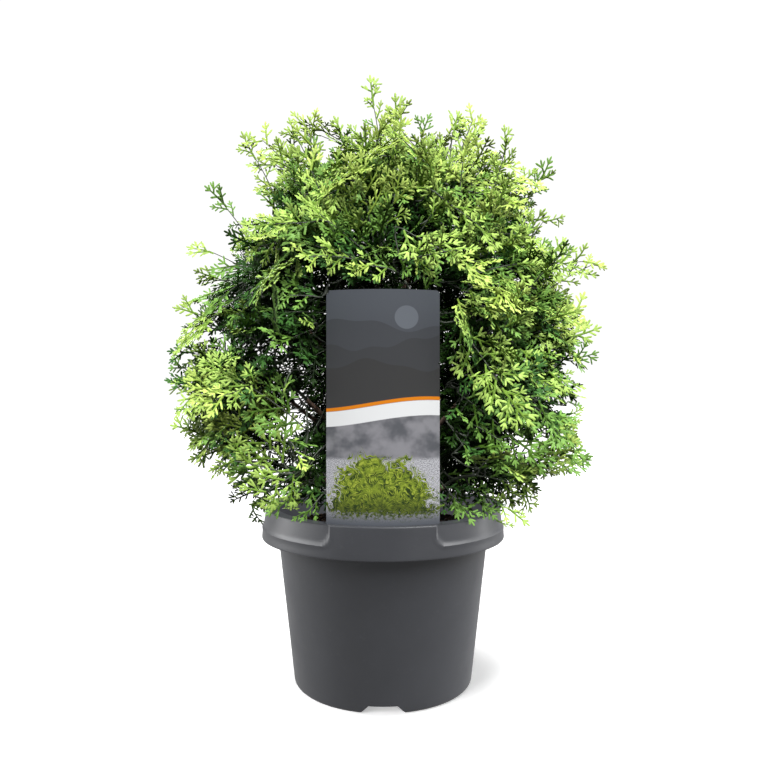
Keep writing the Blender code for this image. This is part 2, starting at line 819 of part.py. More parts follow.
def main():
    clear_scene()
    parts = make_collection("potted_hinoki_cypress")
    cutters = make_collection("cutters")
    grey = plain_material("pot_plastic", (0.045, 0.047, 0.052), 0.45)
    peat = plain_material("potting_soil", (0.045, 0.028, 0.018), 0.95)
    bark = plain_material("bark", (0.16, 0.085, 0.05), 0.85)
    green = plain_material("foliage", (0.16, 0.30, 0.045), 0.6)
    paper = plain_material("card", (0.06, 0.06, 0.065), 0.35)
    make_pot(parts, cutters, grey)
    make_soil(parts, peat)
    make_card(parts, paper)
    make_tree(parts, cutters, bark, green)


main()
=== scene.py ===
import math
import random
from collections import namedtuple

import bmesh
import bpy
import numpy as np
from mathutils import Matrix, Vector, noise


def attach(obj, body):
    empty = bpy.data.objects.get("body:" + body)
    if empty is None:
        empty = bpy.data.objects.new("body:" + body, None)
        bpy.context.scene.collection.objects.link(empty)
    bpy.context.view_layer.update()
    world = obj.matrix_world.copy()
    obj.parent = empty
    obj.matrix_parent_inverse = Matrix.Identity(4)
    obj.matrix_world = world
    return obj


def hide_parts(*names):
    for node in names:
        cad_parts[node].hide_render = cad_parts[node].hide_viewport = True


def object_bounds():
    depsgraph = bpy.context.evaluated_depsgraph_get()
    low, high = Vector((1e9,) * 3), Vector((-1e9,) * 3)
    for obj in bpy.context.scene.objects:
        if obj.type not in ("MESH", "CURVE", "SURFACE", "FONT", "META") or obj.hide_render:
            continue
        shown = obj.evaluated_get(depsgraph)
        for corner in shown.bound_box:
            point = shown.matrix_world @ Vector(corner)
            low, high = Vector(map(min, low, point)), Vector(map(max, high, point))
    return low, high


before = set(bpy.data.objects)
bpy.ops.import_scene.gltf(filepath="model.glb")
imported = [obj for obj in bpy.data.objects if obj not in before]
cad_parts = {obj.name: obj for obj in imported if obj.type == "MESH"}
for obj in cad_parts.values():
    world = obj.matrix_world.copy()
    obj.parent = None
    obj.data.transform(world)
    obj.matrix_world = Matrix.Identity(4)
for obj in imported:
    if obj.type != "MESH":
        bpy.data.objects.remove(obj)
solids_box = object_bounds()

# The studio: a white floor that runs out of sight, a bright backdrop, a high key light and a
# back light for the plant alone, wide soft lights for pot, card and floor, and a tall strip
# at each side. The camera stands level with the lower crown, half a metre from the card.
CAMERA_AWAY = 0.573
CAMERA_HEIGHT = 0.2315
CAMERA_LENS = 33.75
CAMERA_SENSOR = 36.0
FLOOR_SIDE = 14.0
FLOOR_WHITE = (0.93, 0.93, 0.93)
FLOOR_BOUNCE = (0.045, 0.045, 0.045)
FLOOR_ROUGHNESS = 0.9
FLOOR_GLOW = 0.44
FLOOR_IN_GLOSS = 0.75
SKY_COLOUR = (0.93, 0.97, 1.0)
SKY_LIGHT = 0.012
SKY_IN_GLOSS = 0.34
SKY_SEEN = 1.05

# Each sun: its name, the place it shines from, its strength and its width in degrees.
PLANT_SUNS = (
    ("key", (0.14, -0.95, 1.0), 12.8, 20),
    ("back", (-0.25, 1.0, 0.40), 6.5, 40),
)
SOFT_SUNS = (
    ("pot", (0.75, -0.50, 1.10), 7.2, 60),
    ("pot", (-1.00, -0.06, 0.60), 4.0, 60),
    ("pot", (0.80, 1.00, 0.90), 1.1, 50),
    ("card", (0.20, -1.00, 1.20), 4.6, 30),
    ("floor", (-0.03, -0.03, 1.00), 2.2, 24),
    ("floor", (-0.85, -0.80, 0.60), 3.2, 40),
)
STRIP_PLACE = (0.75, 0.12, 0.30)
STRIP_AIM = (0, 0, 0.12)
STRIP_SIZE = (0.25, 0.7)
STRIP_POWER = 2.7


def add_object(name, data, material=None):
    """A new object in the scene. A mesh takes the material in place of what it had."""
    made = bpy.data.objects.new(name, data)
    bpy.context.scene.collection.objects.link(made)
    if material:
        data.materials.clear()
        data.materials.append(material)
    return made


def studio_object(name, data, place, turn):
    made = add_object(name, data)
    made.location = place
    made.rotation_euler = turn
    return made


def studio_camera():
    data = bpy.data.cameras.new("camera")
    data.lens = CAMERA_LENS
    data.sensor_width = CAMERA_SENSOR
    place = (0, -CAMERA_AWAY, CAMERA_HEIGHT)
    bpy.context.scene.camera = studio_object("camera", data, place, (math.pi / 2, 0, 0))


def studio_sun(name, place, energy, wide):
    """A sun that shines from a place towards the origin, that many degrees wide."""
    data = bpy.data.lights.new(name, "SUN")
    data.energy = energy
    data.angle = math.radians(wide)
    return studio_object(name, data, place, Vector(place).to_track_quat("Z", "Y").to_euler())


def studio_strip(name, side):
    """A tall strip light to one side of the pot, which draws its edge."""
    data = bpy.data.lights.new(name, "AREA")
    data.energy = STRIP_POWER
    data.shape = "RECTANGLE"
    data.size, data.size_y = STRIP_SIZE
    place = Vector((side * STRIP_PLACE[0], *STRIP_PLACE[1:]))
    studio_object(name, data, place, (Vector(STRIP_AIM) - place).to_track_quat("-Z", "Y").to_euler())


def feed(tree, node, inputs):
    """Gives a node's inputs, by name or number, values or what another node puts out."""
    for name, value in inputs.items():
        if isinstance(value, bpy.types.Node):
            value = value.outputs[0]
        if isinstance(value, bpy.types.NodeSocket):
            tree.links.new(value, node.inputs[name])
        else:
            node.inputs[name].default_value = value
    return node


def add_node(tree, kind, inputs):
    return feed(tree, tree.nodes.new(kind), inputs)


def either(tree, ray, first, second):
    """The second shader for rays of that kind, and the first for all others."""
    return add_node(tree, "ShaderNodeMixShader", {0: ray, 1: first, 2: second})


def studio_world():
    """Bright to the eye and in reflections, and a weak even light on everything else."""
    world = bpy.data.worlds.new("studio")
    bpy.context.scene.world = world
    world.use_nodes = True
    tree = world.node_tree
    tree.nodes.clear()
    rays = tree.nodes.new("ShaderNodeLightPath").outputs
    even = add_node(tree, "ShaderNodeBackground", {"Color": (*SKY_COLOUR, 1), "Strength": SKY_LIGHT})
    gloss = add_node(tree, "ShaderNodeBackground", {"Strength": SKY_IN_GLOSS})
    seen = add_node(tree, "ShaderNodeBackground", {"Color": (1, 1, 1, 1), "Strength": SKY_SEEN})
    unseen = either(tree, rays["Is Glossy Ray"], even, gloss)
    sky = either(tree, rays["Is Camera Ray"], unseen, seen)
    add_node(tree, "ShaderNodeOutputWorld", {"Surface": sky})


def new_material(name, roughness):
    """A material, its node tree and its shader."""
    made = bpy.data.materials.new(name)
    made.use_nodes = True
    shader = made.node_tree.nodes["Principled BSDF"]
    shader.inputs["Roughness"].default_value = roughness
    return made, made.node_tree, shader


def mesh_of(name, points, faces, smooth=False):
    mesh = bpy.data.meshes.new(name)
    mesh.from_pydata(points, [], faces)
    if smooth:
        mesh.shade_smooth()
    return mesh


def floor_paper():
    """White paper that glows a little, and throws little light back on the object."""
    made, tree, shader = new_material("white_floor", FLOOR_ROUGHNESS)
    glow = {"Emission Color": (1, 1, 1, 1), "Emission Strength": FLOOR_GLOW}
    feed(tree, shader, {"Base Color": (*FLOOR_WHITE, 1), **glow})
    rays = tree.nodes.new("ShaderNodeLightPath").outputs
    dim = add_node(tree, "ShaderNodeBsdfDiffuse", {"Color": (*FLOOR_BOUNCE, 1)})
    gloss = add_node(tree, "ShaderNodeEmission", {"Strength": FLOOR_IN_GLOSS})
    lit = either(tree, rays["Is Diffuse Ray"], shader, dim)
    feed(tree, tree.nodes["Material Output"], {"Surface": either(tree, rays["Is Glossy Ray"], lit, gloss)})
    return made


def studio_floor():
    half = FLOOR_SIDE / 2
    corners = [(x * half, y * half, 0) for x, y in ((-1, -1), (1, -1), (1, 1), (-1, 1))]
    floor = add_object("floor", mesh_of("floor", corners, [(0, 1, 2, 3)]), floor_paper())
    return floor


def light_only_softly(piece, which):
    """The floor, pot and card take their own wide lights and not the plant's suns."""
    NO_PLANT_SUNS.objects.link(piece)
    NO_PLANT_SUNS.collection_objects[-1].light_linking.link_state = "EXCLUDE"
    IN_SOFT[which].objects.link(piece)
    if which != "floor":
        SHADING.objects.link(piece)


studio_camera()
studio_world()
NO_PLANT_SUNS = bpy.data.collections.new("no_plant_suns")
SHADING = bpy.data.collections.new("shading")
IN_SOFT = {which: bpy.data.collections.new(f"{which}_in_soft") for which in ("pot", "card", "floor")}
for name, *light in PLANT_SUNS:
    studio_sun(name, *light).light_linking.receiver_collection = NO_PLANT_SUNS
for which, *light in SOFT_SUNS:
    sun = studio_sun(f"soft_{which}", *light)
    sun.light_linking.receiver_collection = IN_SOFT[which]
    sun.light_linking.blocker_collection = SHADING
for name, side in (("strip_left", -1), ("strip_right", 1)):
    studio_strip(name, side)
light_only_softly(studio_floor(), "floor")
bpy.context.scene.view_settings.view_transform = "Standard"

# The pot: one shell of injection-moulded grey plastic with a slow taper, a folded collar
# with three label pockets and sunk windows between them, a foot ring with three notches
# and five drain holes. Its outside is satin, a little cloudy, and scuffed here and there.
POT_HEIGHT = 0.136
POT_STEPS = 288
PROFILE_STEP = 0.0016
POT_SHARP_ANGLE = math.radians(32)
WALL = 0.0018
FOOT_RADIUS = 0.0695
FOOT_ROUNDING = 0.003
FOOT_RING = 0.006
FOOT_RECESS = 0.007
BODY_TOP_RADIUS = 0.0848
LEDGE = 0.0022
COLLAR_HEIGHT = 0.023
COLLAR_RADIUS = 0.095
COLLAR_TOP_RADIUS = 0.0934
COLLAR_INSIDE_TOP = 0.0898
COLLAR_INSIDE_FOOT = 0.0925
FACE_DEPTH = 0.0013
POCKETS = 3
POCKET_HALF_ANGLE = math.radians(23)
WINDOW_DEPTH = 0.0136
WINDOW_SINK_TOP = 0.0016
WINDOW_SINK_FOOT = 0.0007
WINDOW_CORNER = 0.0075
WINDOW_EDGE = 0.0014
RIDGE_RISE = 0.00055
RIDGE_WIDTH = 0.0010
NOTCHES = 3
NOTCH_HEIGHT = 0.006
NOTCH_TOP_WIDTH = 0.0206
NOTCH_FOOT_WIDTH = 0.0326
NOTCH_CUT_BELOW = 0.004
DRAIN_RADIUS = 0.006
DRAIN_CIRCLE = 0.042
DRAINS_ON_CIRCLE = 4
DRAIN_STEPS = 32
CARD_RADIUS = 0.0881
CARD_WIDTH = 0.0775
SLOT_WIDTH = 0.0016
SLOT_EXTRA_ANGLE = math.radians(1.5)
SLOT_POINTS = 49
POT_GREY = (0.0302, 0.0318, 0.0368)
SCUFF_GREY = (0.16, 0.16, 0.165)
MOST_SCUFFED = 0.05
PLASTIC_ROUGHNESS = 0.42


def around(azimuth, radius, height):
    """The point at that azimuth, in degrees from +X, radius and height."""
    turn = math.radians(azimuth)
    return Vector((radius * math.cos(turn), radius * math.sin(turn), height))


def applied(obj):
    """The object's evaluated mesh as a plain mesh. The object is removed."""
    bpy.context.view_layer.update()
    graph = bpy.context.evaluated_depsgraph_get()
    mesh = bpy.data.meshes.new_from_object(obj.evaluated_get(graph))
    mesh.transform(obj.matrix_world)
    bpy.data.objects.remove(obj)
    return mesh


def body_radius(height):
    """Outer radius of the pot's tapered body at a height above the ground."""
    return FOOT_RADIUS + (BODY_TOP_RADIUS - FOOT_RADIUS) * height / POT_HEIGHT


def corner(previous, point, following, radius, steps=5):
    """A profile's corner rounded off: a short curve that starts and ends on its two sides."""
    here = Vector(point)
    back = Vector(previous) - here
    on = Vector(following) - here
    reach = min(radius, 0.49 * back.length, 0.49 * on.length)
    start = here + back.normalized() * reach
    end = here + on.normalized() * reach
    for i in range(steps + 1):
        t = i / steps
        yield tuple(start * (1 - t) ** 2 + here * 2 * t * (1 - t) + end * t * t)


def pot_profile():
    """The pot's wall from the middle of its floor up the inside, over the collar and down.

    Each corner is given by its radius, its height and how far it is rounded.
    """
    inner_foot = FOOT_RADIUS - FOOT_RING
    floor = FOOT_RECESS + WALL
    ledge = POT_HEIGHT - LEDGE
    collar_foot = POT_HEIGHT - COLLAR_HEIGHT
    sharp = [
        (0, floor, 0),
        (body_radius(floor) - WALL, floor, 0.002),
        (BODY_TOP_RADIUS - WALL, POT_HEIGHT, 0.0009),
        (COLLAR_TOP_RADIUS, POT_HEIGHT, 0.0011),
        (COLLAR_RADIUS, collar_foot, 0.0010),
        (COLLAR_INSIDE_FOOT, collar_foot, 0.0006),
        (COLLAR_INSIDE_TOP, ledge, 0.0006),
        (body_radius(ledge), ledge, 0.0012),
        (FOOT_RADIUS, 0, FOOT_ROUNDING),
        (inner_foot, 0, 0.0006),
        (inner_foot - 0.001, FOOT_RECESS, 0.0006),
        (0, FOOT_RECESS, 0),
    ]
    line = [sharp[0][:2]]
    for before, point, after in zip(sharp, sharp[1:], sharp[2:]):
        line += corner(before[:2], point[:2], after[:2], point[2])
    line.append(sharp[-1][:2])
    return line


def divided(line, longest):
    """The same line with its long sides cut up, so that relief has points to move."""
    made = [line[0]]
    for (x0, y0), (x1, y1) in zip(line, line[1:]):
        parts = max(1, math.ceil(math.hypot(x1 - x0, y1 - y0) / longest))
        made += [(x0 + (x1 - x0) * i / parts, y0 + (y1 - y0) * i / parts) for i in range(1, parts + 1)]
    return made


def window_relief(turn, height):
    """How far the collar's face is pushed in or out by its windows and their moulded rims."""
    middle = -math.pi / 2 + math.pi / POCKETS
    step = 2 * math.pi / POCKETS
    off = (turn - middle + step / 2) % step - step / 2
    half = math.pi / POCKETS - POCKET_HALF_ANGLE
    foot = POT_HEIGHT - WINDOW_DEPTH
    across = abs(off) * COLLAR_RADIUS - (half * COLLAR_RADIUS - WINDOW_CORNER)
    down = foot + WINDOW_CORNER - height
    if across > 0 and down > 0:
        edge = math.hypot(across, down) - WINDOW_CORNER
    else:
        edge = max(across, down) - WINDOW_CORNER
    share = min(1, max(0, 0.5 - edge / WINDOW_EDGE / 2))
    share = share * share * (3 - 2 * share)
    rise = (height - foot) / WINDOW_DEPTH
    sink = WINDOW_SINK_FOOT + (WINDOW_SINK_TOP - WINDOW_SINK_FOOT) * max(0, rise)
    ridge = RIDGE_RISE * math.exp(-(((edge - WINDOW_EDGE) / RIDGE_WIDTH) ** 2))
    return ridge - sink * share


def facing_out(mesh):
    """The same closed mesh with all its faces turned outward."""
    work = bmesh.new()
    work.from_mesh(mesh)
    bmesh.ops.recalc_face_normals(work, faces=work.faces)
    if work.calc_volume(signed=True) < 0:
        bmesh.ops.reverse_faces(work, faces=work.faces)
    work.to_mesh(mesh)
    work.free()
    return mesh


def turned_shell(name, line, steps, pushed_out=None):
    """A closed shell turned about Z from a line that starts and ends on the axis."""
    points, faces = [], []
    for row, (radius, height) in enumerate(line):
        if row in (0, len(line) - 1):
            points.append((0, 0, height))
            continue
        for i in range(steps):
            turn = 2 * math.pi * i / steps
            far = radius + (pushed_out(turn, radius, height) if pushed_out else 0)
            points.append((far * math.cos(turn), far * math.sin(turn), height))
    rows = len(line) - 2
    start = lambda row: 1 + row * steps
    for i in range(steps):
        j = (i + 1) % steps
        faces.append((0, start(0) + i, start(0) + j))
        for row in range(rows - 1):
            a, b = start(row), start(row + 1)
            faces.append((a + i, b + i, b + j, a + j))
        last = start(rows - 1)
        faces.append((last + i, len(points) - 1, last + j))
    return facing_out(mesh_of(name, points, faces))


def prism(name, outline, low, high, turn=None):
    """A straight bar on an outline in the XY plane, from one height to another."""
    count = len(outline)
    points = [(x, y, low) for x, y in outline] + [(x, y, high) for x, y in outline]
    faces = [tuple(reversed(range(count))), tuple(range(count, 2 * count))]
    faces += [(i, (i + 1) % count, count + (i + 1) % count, count + i) for i in range(count)]
    mesh = mesh_of(name, points, faces)
    if turn:
        mesh.transform(turn)
    return add_object(name, facing_out(mesh))


def pot_cutters():
    """The notches of the foot, the drain holes and the card's slot, as bars to cut away."""
    flare = (NOTCH_FOOT_WIDTH - NOTCH_TOP_WIDTH) / 2 / NOTCH_HEIGHT * NOTCH_CUT_BELOW
    notch = [
        (-NOTCH_FOOT_WIDTH / 2 - flare, -NOTCH_CUT_BELOW),
        (NOTCH_FOOT_WIDTH / 2 + flare, -NOTCH_CUT_BELOW),
        (NOTCH_TOP_WIDTH / 2, NOTCH_HEIGHT),
        (-NOTCH_TOP_WIDTH / 2, NOTCH_HEIGHT),
    ]
    for i in range(NOTCHES):
        azimuth = -90 + 360 / NOTCHES * i
        turn = Matrix.Rotation(math.radians(azimuth + 90), 4, "Z") @ Matrix.Rotation(math.pi / 2, 4, "X")
        yield prism("notch", notch, 0.3 * FOOT_RADIUS, 1.5 * FOOT_RADIUS, turn)
    for i in range(DRAINS_ON_CIRCLE + 1):
        place = around(45 + 90 * i, DRAIN_CIRCLE if i < DRAINS_ON_CIRCLE else 0, 0)
        hole = [
            (place.x + DRAIN_RADIUS * math.cos(t), place.y + DRAIN_RADIUS * math.sin(t))
            for t in np.linspace(0, 2 * math.pi, DRAIN_STEPS, endpoint=False)
        ]
        yield prism("drain", hole, FOOT_RECESS - WALL, FOOT_RECESS + 3 * WALL)
    half = math.asin(CARD_WIDTH / 2 / CARD_RADIUS) + SLOT_EXTRA_ANGLE
    turns = np.linspace(-math.pi / 2 - half, -math.pi / 2 + half, SLOT_POINTS)
    near, far = (
        [(radius * math.cos(t), radius * math.sin(t)) for t in turns]
        for radius in (CARD_RADIUS - SLOT_WIDTH / 2, CARD_RADIUS + SLOT_WIDTH / 2)
    )
    yield prism("slot", near + far[::-1], POT_HEIGHT - 3 * LEDGE, POT_HEIGHT + 3 * LEDGE)


def socket(tree, name, kind, value=None, way="INPUT"):
    """Adds a named socket to a node group."""
    made = tree.interface.new_socket(name, in_out=way, socket_type=f"NodeSocket{kind}")
    if value is not None:
        made.default_value = value


def object_place(tree):
    return tree.nodes.new("ShaderNodeTexCoord").outputs["Object"]


def noise_on(tree, scale, detail, roughness=0.5, place=None):
    """Noise over the object's own coordinates, or over the ones given."""
    place = object_place(tree) if place is None else place
    looks = {"Scale": scale, "Detail": detail, "Roughness": roughness}
    return add_node(tree, "ShaderNodeTexNoise", {"Vector": place, **looks})


def ranged(tree, value, low, high, start=0.0, end=1.0):
    """What is low becomes the start, what is high the end, and the rest lies between."""
    limits = {"From Min": low, "From Max": high, "To Min": start, "To Max": end}
    return add_node(tree, "ShaderNodeMapRange", {"Value": value, **limits})


def cloud_group():
    """Soft cloudy tone over a surface, for plastic, peat, bark and leaves: 0 to 1."""
    tree = bpy.data.node_groups.new("cloudy_tone", "ShaderNodeTree")
    socket(tree, "Scale", "Float", 20.0)
    socket(tree, "Low", "Float", 0.0)
    socket(tree, "High", "Float", 1.0)
    socket(tree, "Tone", "Float", way="OUTPUT")
    given = tree.nodes.new("NodeGroupInput").outputs
    wide = noise_on(tree, given["Scale"], detail=4, roughness=0.6)
    tone = ranged(tree, wide, 0.32, 0.68, given["Low"], given["High"])
    add_node(tree, "NodeGroupOutput", {"Tone": tone})
    return tree


CLOUDY = cloud_group()


def clouds(tree, scale, low, high):
    made = tree.nodes.new("ShaderNodeGroup")
    made.node_tree = CLOUDY
    return feed(tree, made, {"Scale": scale, "Low": low, "High": high})


def colour_between(tree, share, first, second):
    """A colour that goes from the first to the second as the share goes from 0 to 1."""
    mix = tree.nodes.new("ShaderNodeMix")
    mix.data_type = "RGBA"
    first, second = ((*ink, 1) if isinstance(ink, tuple) else ink for ink in (first, second))
    return feed(tree, mix, {"Factor": share, "A": first, "B": second}).outputs["Result"]


def relief(tree, shader, height, strength, depth):
    """Gives a shader a fine relief of that depth in metres."""
    looks = {"Height": height, "Strength": strength, "Distance": depth}
    feed(tree, shader, {"Normal": add_node(tree, "ShaderNodeBump", looks)})


def pot_plastic():
    """Satin grey, cloudy in tone and gloss, with pale scuffs and the mould's fine grain."""
    made, tree, shader = new_material("pot_plastic", PLASTIC_ROUGHNESS)
    darker, lighter = (tuple(c * gain for c in POT_GREY) for gain in (0.88, 1.16))
    cloudy = colour_between(tree, clouds(tree, scale=14, low=0, high=1), darker, lighter)
    scuffed = ranged(tree, noise_on(tree, scale=260, detail=6), 0.62, 0.78, end=MOST_SCUFFED)
    gloss = clouds(tree, scale=32, low=0.38, high=0.50)
    feed(tree, shader, {"Base Color": colour_between(tree, scuffed, cloudy, SCUFF_GREY), "Roughness": gloss})
    relief(tree, shader, noise_on(tree, scale=900, detail=3), strength=0.12, depth=0.0002)
    return made


def on_collar(turn, radius, height):
    """Only the collar's outer face takes the relief of the windows."""
    collar_foot = POT_HEIGHT - COLLAR_HEIGHT
    face = COLLAR_RADIUS + (COLLAR_TOP_RADIUS - COLLAR_RADIUS) * (height - collar_foot) / COLLAR_HEIGHT
    if height < collar_foot or abs(radius - face) > FACE_DEPTH:
        return 0.0
    return window_relief(turn, height) * min(1, 1 - (face - radius) / FACE_DEPTH)


def make_pot():
    line = divided(pot_profile(), PROFILE_STEP)
    mesh = turned_shell("pot_shell", line, POT_STEPS, on_collar)
    for cutter in pot_cutters():
        uncut = add_object("pot_shell", mesh)
        cut = uncut.modifiers.new("cut", "BOOLEAN")
        cut.operation = "DIFFERENCE"
        cut.solver = "EXACT"
        cut.object = cutter
        mesh = applied(uncut)
        bpy.data.objects.remove(cutter)
    mesh.shade_smooth()
    mesh.set_sharp_from_angle(angle=POT_SHARP_ANGLE)
    shell = add_object("pot_shell", mesh, pot_plastic())
    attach(shell, "root")
    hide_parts("pot")
    light_only_softly(shell, "pot")


make_pot()

# The potting soil: peat with bark crumbs, filled to a finger below the rim and settled
# unevenly round the trunk. Crumbs and chips lie loose on its top.
SOIL_BELOW_RIM = 0.016
SOIL_RISE = 0.003
SOIL_STEPS = 120
SOIL_RINGS = 30
SOIL_GAP = 0.0003
SOIL_LUMP = 0.0022
LUMP_SCALE = 120
LUMP_SINK = 0.45
LUMP_HIGHEST = 0.6
LUMPS_FADE = 0.008
EDGE_LEFT = 0.001
CRUMBS_PER_AREA = 62000
CRUMB_SMALLEST = 0.0007
CRUMB_LARGEST = 0.0023
CRUMB_SEED = 7
CRUMB_TURN = 6.28
STEEPEST_BED = 0.4
PEAT = ((0.012, 0.007, 0.004), (0.050, 0.030, 0.018))
PEAT_ROUGHNESS = 0.95
BARK_CRUMBS = ((0.030, 0.016, 0.009), (0.12, 0.07, 0.04))


def soil_level():
    return POT_HEIGHT - SOIL_BELOW_RIM


def soil_mesh():
    floor = FOOT_RECESS + WALL + SOIL_GAP
    top = soil_level()
    edge = body_radius(top) - WALL - 2 * SOIL_GAP
    line = [
        (0, floor),
        (FOOT_RADIUS - FOOT_RING - 2 * WALL, floor),
        (body_radius(floor) - 1.6 * WALL - 3 * SOIL_GAP, floor + WALL),
        (edge, top - SOIL_RISE),
    ]
    for i in range(1, SOIL_RINGS):
        share = 1 - i / SOIL_RINGS
        line.append((edge * share, top - SOIL_RISE * share**2))
    line.append((0, top))
    mesh = turned_shell("soil", line, SOIL_STEPS)
    for vert in mesh.vertices:
        far = math.hypot(vert.co.x, vert.co.y)
        if vert.co.z > top - SOIL_RISE - EDGE_LEFT and far < edge - EDGE_LEFT:
            lump = min(LUMP_HIGHEST, noise.fractal(vert.co * LUMP_SCALE, 0.9, 2.1, 4)) - LUMP_SINK
            vert.co.z += lump * SOIL_LUMP * min(1, (edge - far) / LUMPS_FADE)
    mesh.shade_smooth()
    return mesh


def end_tree(tree, geometry, material):
    """A geometry tree's last nodes: its result takes a material and leaves the tree."""
    painted = add_node(tree, "GeometryNodeSetMaterial", {"Geometry": geometry, "Material": material})
    add_node(tree, "NodeGroupOutput", {0: painted})
    return tree


def random_vectors(tree, seed, low, high):
    made = tree.nodes.new("FunctionNodeRandomValue")
    made.data_type = "FLOAT_VECTOR"
    return feed(tree, made, {"Min": low, "Max": high, "Seed": seed})


def crumb_tree(material):
    """Crumbs dealt over the upward faces of a mesh, each turned and sized by the seed."""
    tree = bpy.data.node_groups.new("crumbs", "GeometryNodeTree")
    socket(tree, "Geometry", "Geometry")
    socket(tree, "Per Area", "Float", CRUMBS_PER_AREA)
    socket(tree, "Smallest", "Float", CRUMB_SMALLEST)
    socket(tree, "Largest", "Float", CRUMB_LARGEST)
    socket(tree, "Seed", "Int", CRUMB_SEED)
    socket(tree, "Geometry", "Geometry", way="OUTPUT")
    given = tree.nodes.new("NodeGroupInput").outputs
    normal = add_node(tree, "ShaderNodeSeparateXYZ", {0: tree.nodes.new("GeometryNodeInputNormal")})
    upward = add_node(tree, "FunctionNodeCompare", {"A": normal.outputs["Z"], "B": STEEPEST_BED})
    dealt = {"Density": given["Per Area"], "Seed": given["Seed"]}
    where = {"Mesh": given["Geometry"], "Selection": upward}
    scatter = add_node(tree, "GeometryNodeDistributePointsOnFaces", {**where, **dealt})
    crumb = add_node(tree, "GeometryNodeMeshIcoSphere", {"Radius": 1.0, "Subdivisions": 1})
    turn = random_vectors(tree, given["Seed"], (0, 0, 0), (CRUMB_TURN,) * 3)
    size = random_vectors(tree, given["Seed"], given["Smallest"], given["Largest"])
    each = {"Points": scatter, "Instance": crumb, "Rotation": turn, "Scale": size}
    placed = add_node(tree, "GeometryNodeInstanceOnPoints", each)
    return end_tree(tree, add_node(tree, "GeometryNodeRealizeInstances", {0: placed}), material)


def grown(obj, tree, values=None):
    """The plain mesh that a node tree makes of an object, which is removed."""
    modifier = obj.modifiers.new("grow", "NODES")
    modifier.node_group = tree
    sockets = {s.name: s.identifier for s in tree.interface.items_tree if s.in_out == "INPUT"}
    for name, value in (values or {}).items():
        modifier[sockets[name]] = value
    obj.update_tag()
    return applied(obj)


def peat_material(name, dark, light):
    """Dull, crumbly and mottled from dark to light."""
    made, tree, shader = new_material(name, PEAT_ROUGHNESS)
    mottled = colour_between(tree, clouds(tree, scale=210, low=0, high=1), dark, light)
    feed(tree, shader, {"Base Color": mottled})
    relief(tree, shader, noise_on(tree, scale=700, detail=5), strength=0.8, depth=0.0008)
    return made


def make_soil():
    soil = add_object("soil", soil_mesh(), peat_material("peat", *PEAT))
    chips = crumb_tree(peat_material("bark_crumbs", *BARK_CRUMBS))
    crumbs = add_object("soil_crumbs", grown(add_object("soil_top", soil.data.copy()), chips))
    for piece in (soil, crumbs):
        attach(piece, "root")
        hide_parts("potting_soil")


make_soil()

# The picture card: a stiff glossy plastic card, printed on its front, bent to the collar's
# round and pushed down into the slot behind the front pocket. Its design is plain bands,
# low hills and a clipped bush, in slate, white, orange and green.
CARD_THICKNESS = 0.0006
CARD_TOP = 0.2955
CARD_FOOT = 0.116
CARD_CORNER = 0.0016
CARD_COLUMNS = 56
CARD_ROWS = 96
CARD_SHARP_ANGLE = math.radians(40)
CARD_ROUGHNESS = 0.30
SHEEN = {"Specular IOR Level": 0.2, "Coat Weight": 0.08, "Coat Roughness": 0.12}
PRINT_TALL = 2.32
PRINT_STRETCH = (1, 2.3, 1)
PRINT_EDGE = 0.003
SLATE = (0.095, 0.104, 0.121)
SLATE_DARK = (0.080, 0.086, 0.100)
DISC_MIDDLE = (0.70, 0.895)
DISC_EDGE = (0.105, 0.099)
DISC_GREY = (0.15, 0.165, 0.19)

# Each hill: how high it stands, its waves by size, turns and start, and its grey.
HILLS = (
    (0.868, ((0.022, 0.9, 0.4), (0.008, 2.3, 1.0)), (0.067, 0.071, 0.080)),
    (0.800, ((0.026, 0.7, 3.4), (0.007, 3.1, 0.0)), (0.057, 0.059, 0.064)),
    (0.715, ((0.020, 1.1, 5.2), (0.006, 2.7, 2.0)), (0.050, 0.050, 0.051)),
)
WALL_GREYS = ((0.11, 0.114, 0.128), (0.28, 0.277, 0.30))
GRAVEL_GREYS = ((0.24, 0.24, 0.26), (0.62, 0.62, 0.66))
BUSH_MIDDLE = (0.5, 0.175)
BUSH_GREENS = ((0.030, 0.060, 0.008), (0.190, 0.270, 0.024))
BUSH_LIGHT = (0.38, 0.46, 0.055)
BUSH_DARK = (0.014, 0.030, 0.005)
BUSH_FOOT = (0.012, 0.022, 0.005)
BAND_LINE = (0.530, (0.024, 0.5, -1.2))
BAND_WHITE = (0.86, 0.87, 0.88)
BAND_ORANGE = (0.80, 0.24, 0.012)


def card_grid(radius):
    """Rows of points over the bent card at a radius, each with its spot on the print."""
    half_turn = math.asin(CARD_WIDTH / 2 / CARD_RADIUS)
    for row in range(CARD_ROWS + 1):
        height = CARD_FOOT + (CARD_TOP - CARD_FOOT) * row / CARD_ROWS
        past = max(0, height - (CARD_TOP - CARD_CORNER))
        inset = CARD_CORNER - math.sqrt(max(0, CARD_CORNER**2 - past**2))
        for column in range(CARD_COLUMNS + 1):
            across = (column / CARD_COLUMNS - 0.5) * (CARD_WIDTH - 2 * inset)
            turn = -math.pi / 2 + half_turn * across / (CARD_WIDTH / 2)
            spot = (0.5 + across / CARD_WIDTH, (height - CARD_FOOT) / (CARD_TOP - CARD_FOOT))
            yield (radius * math.cos(turn), radius * math.sin(turn), height), spot


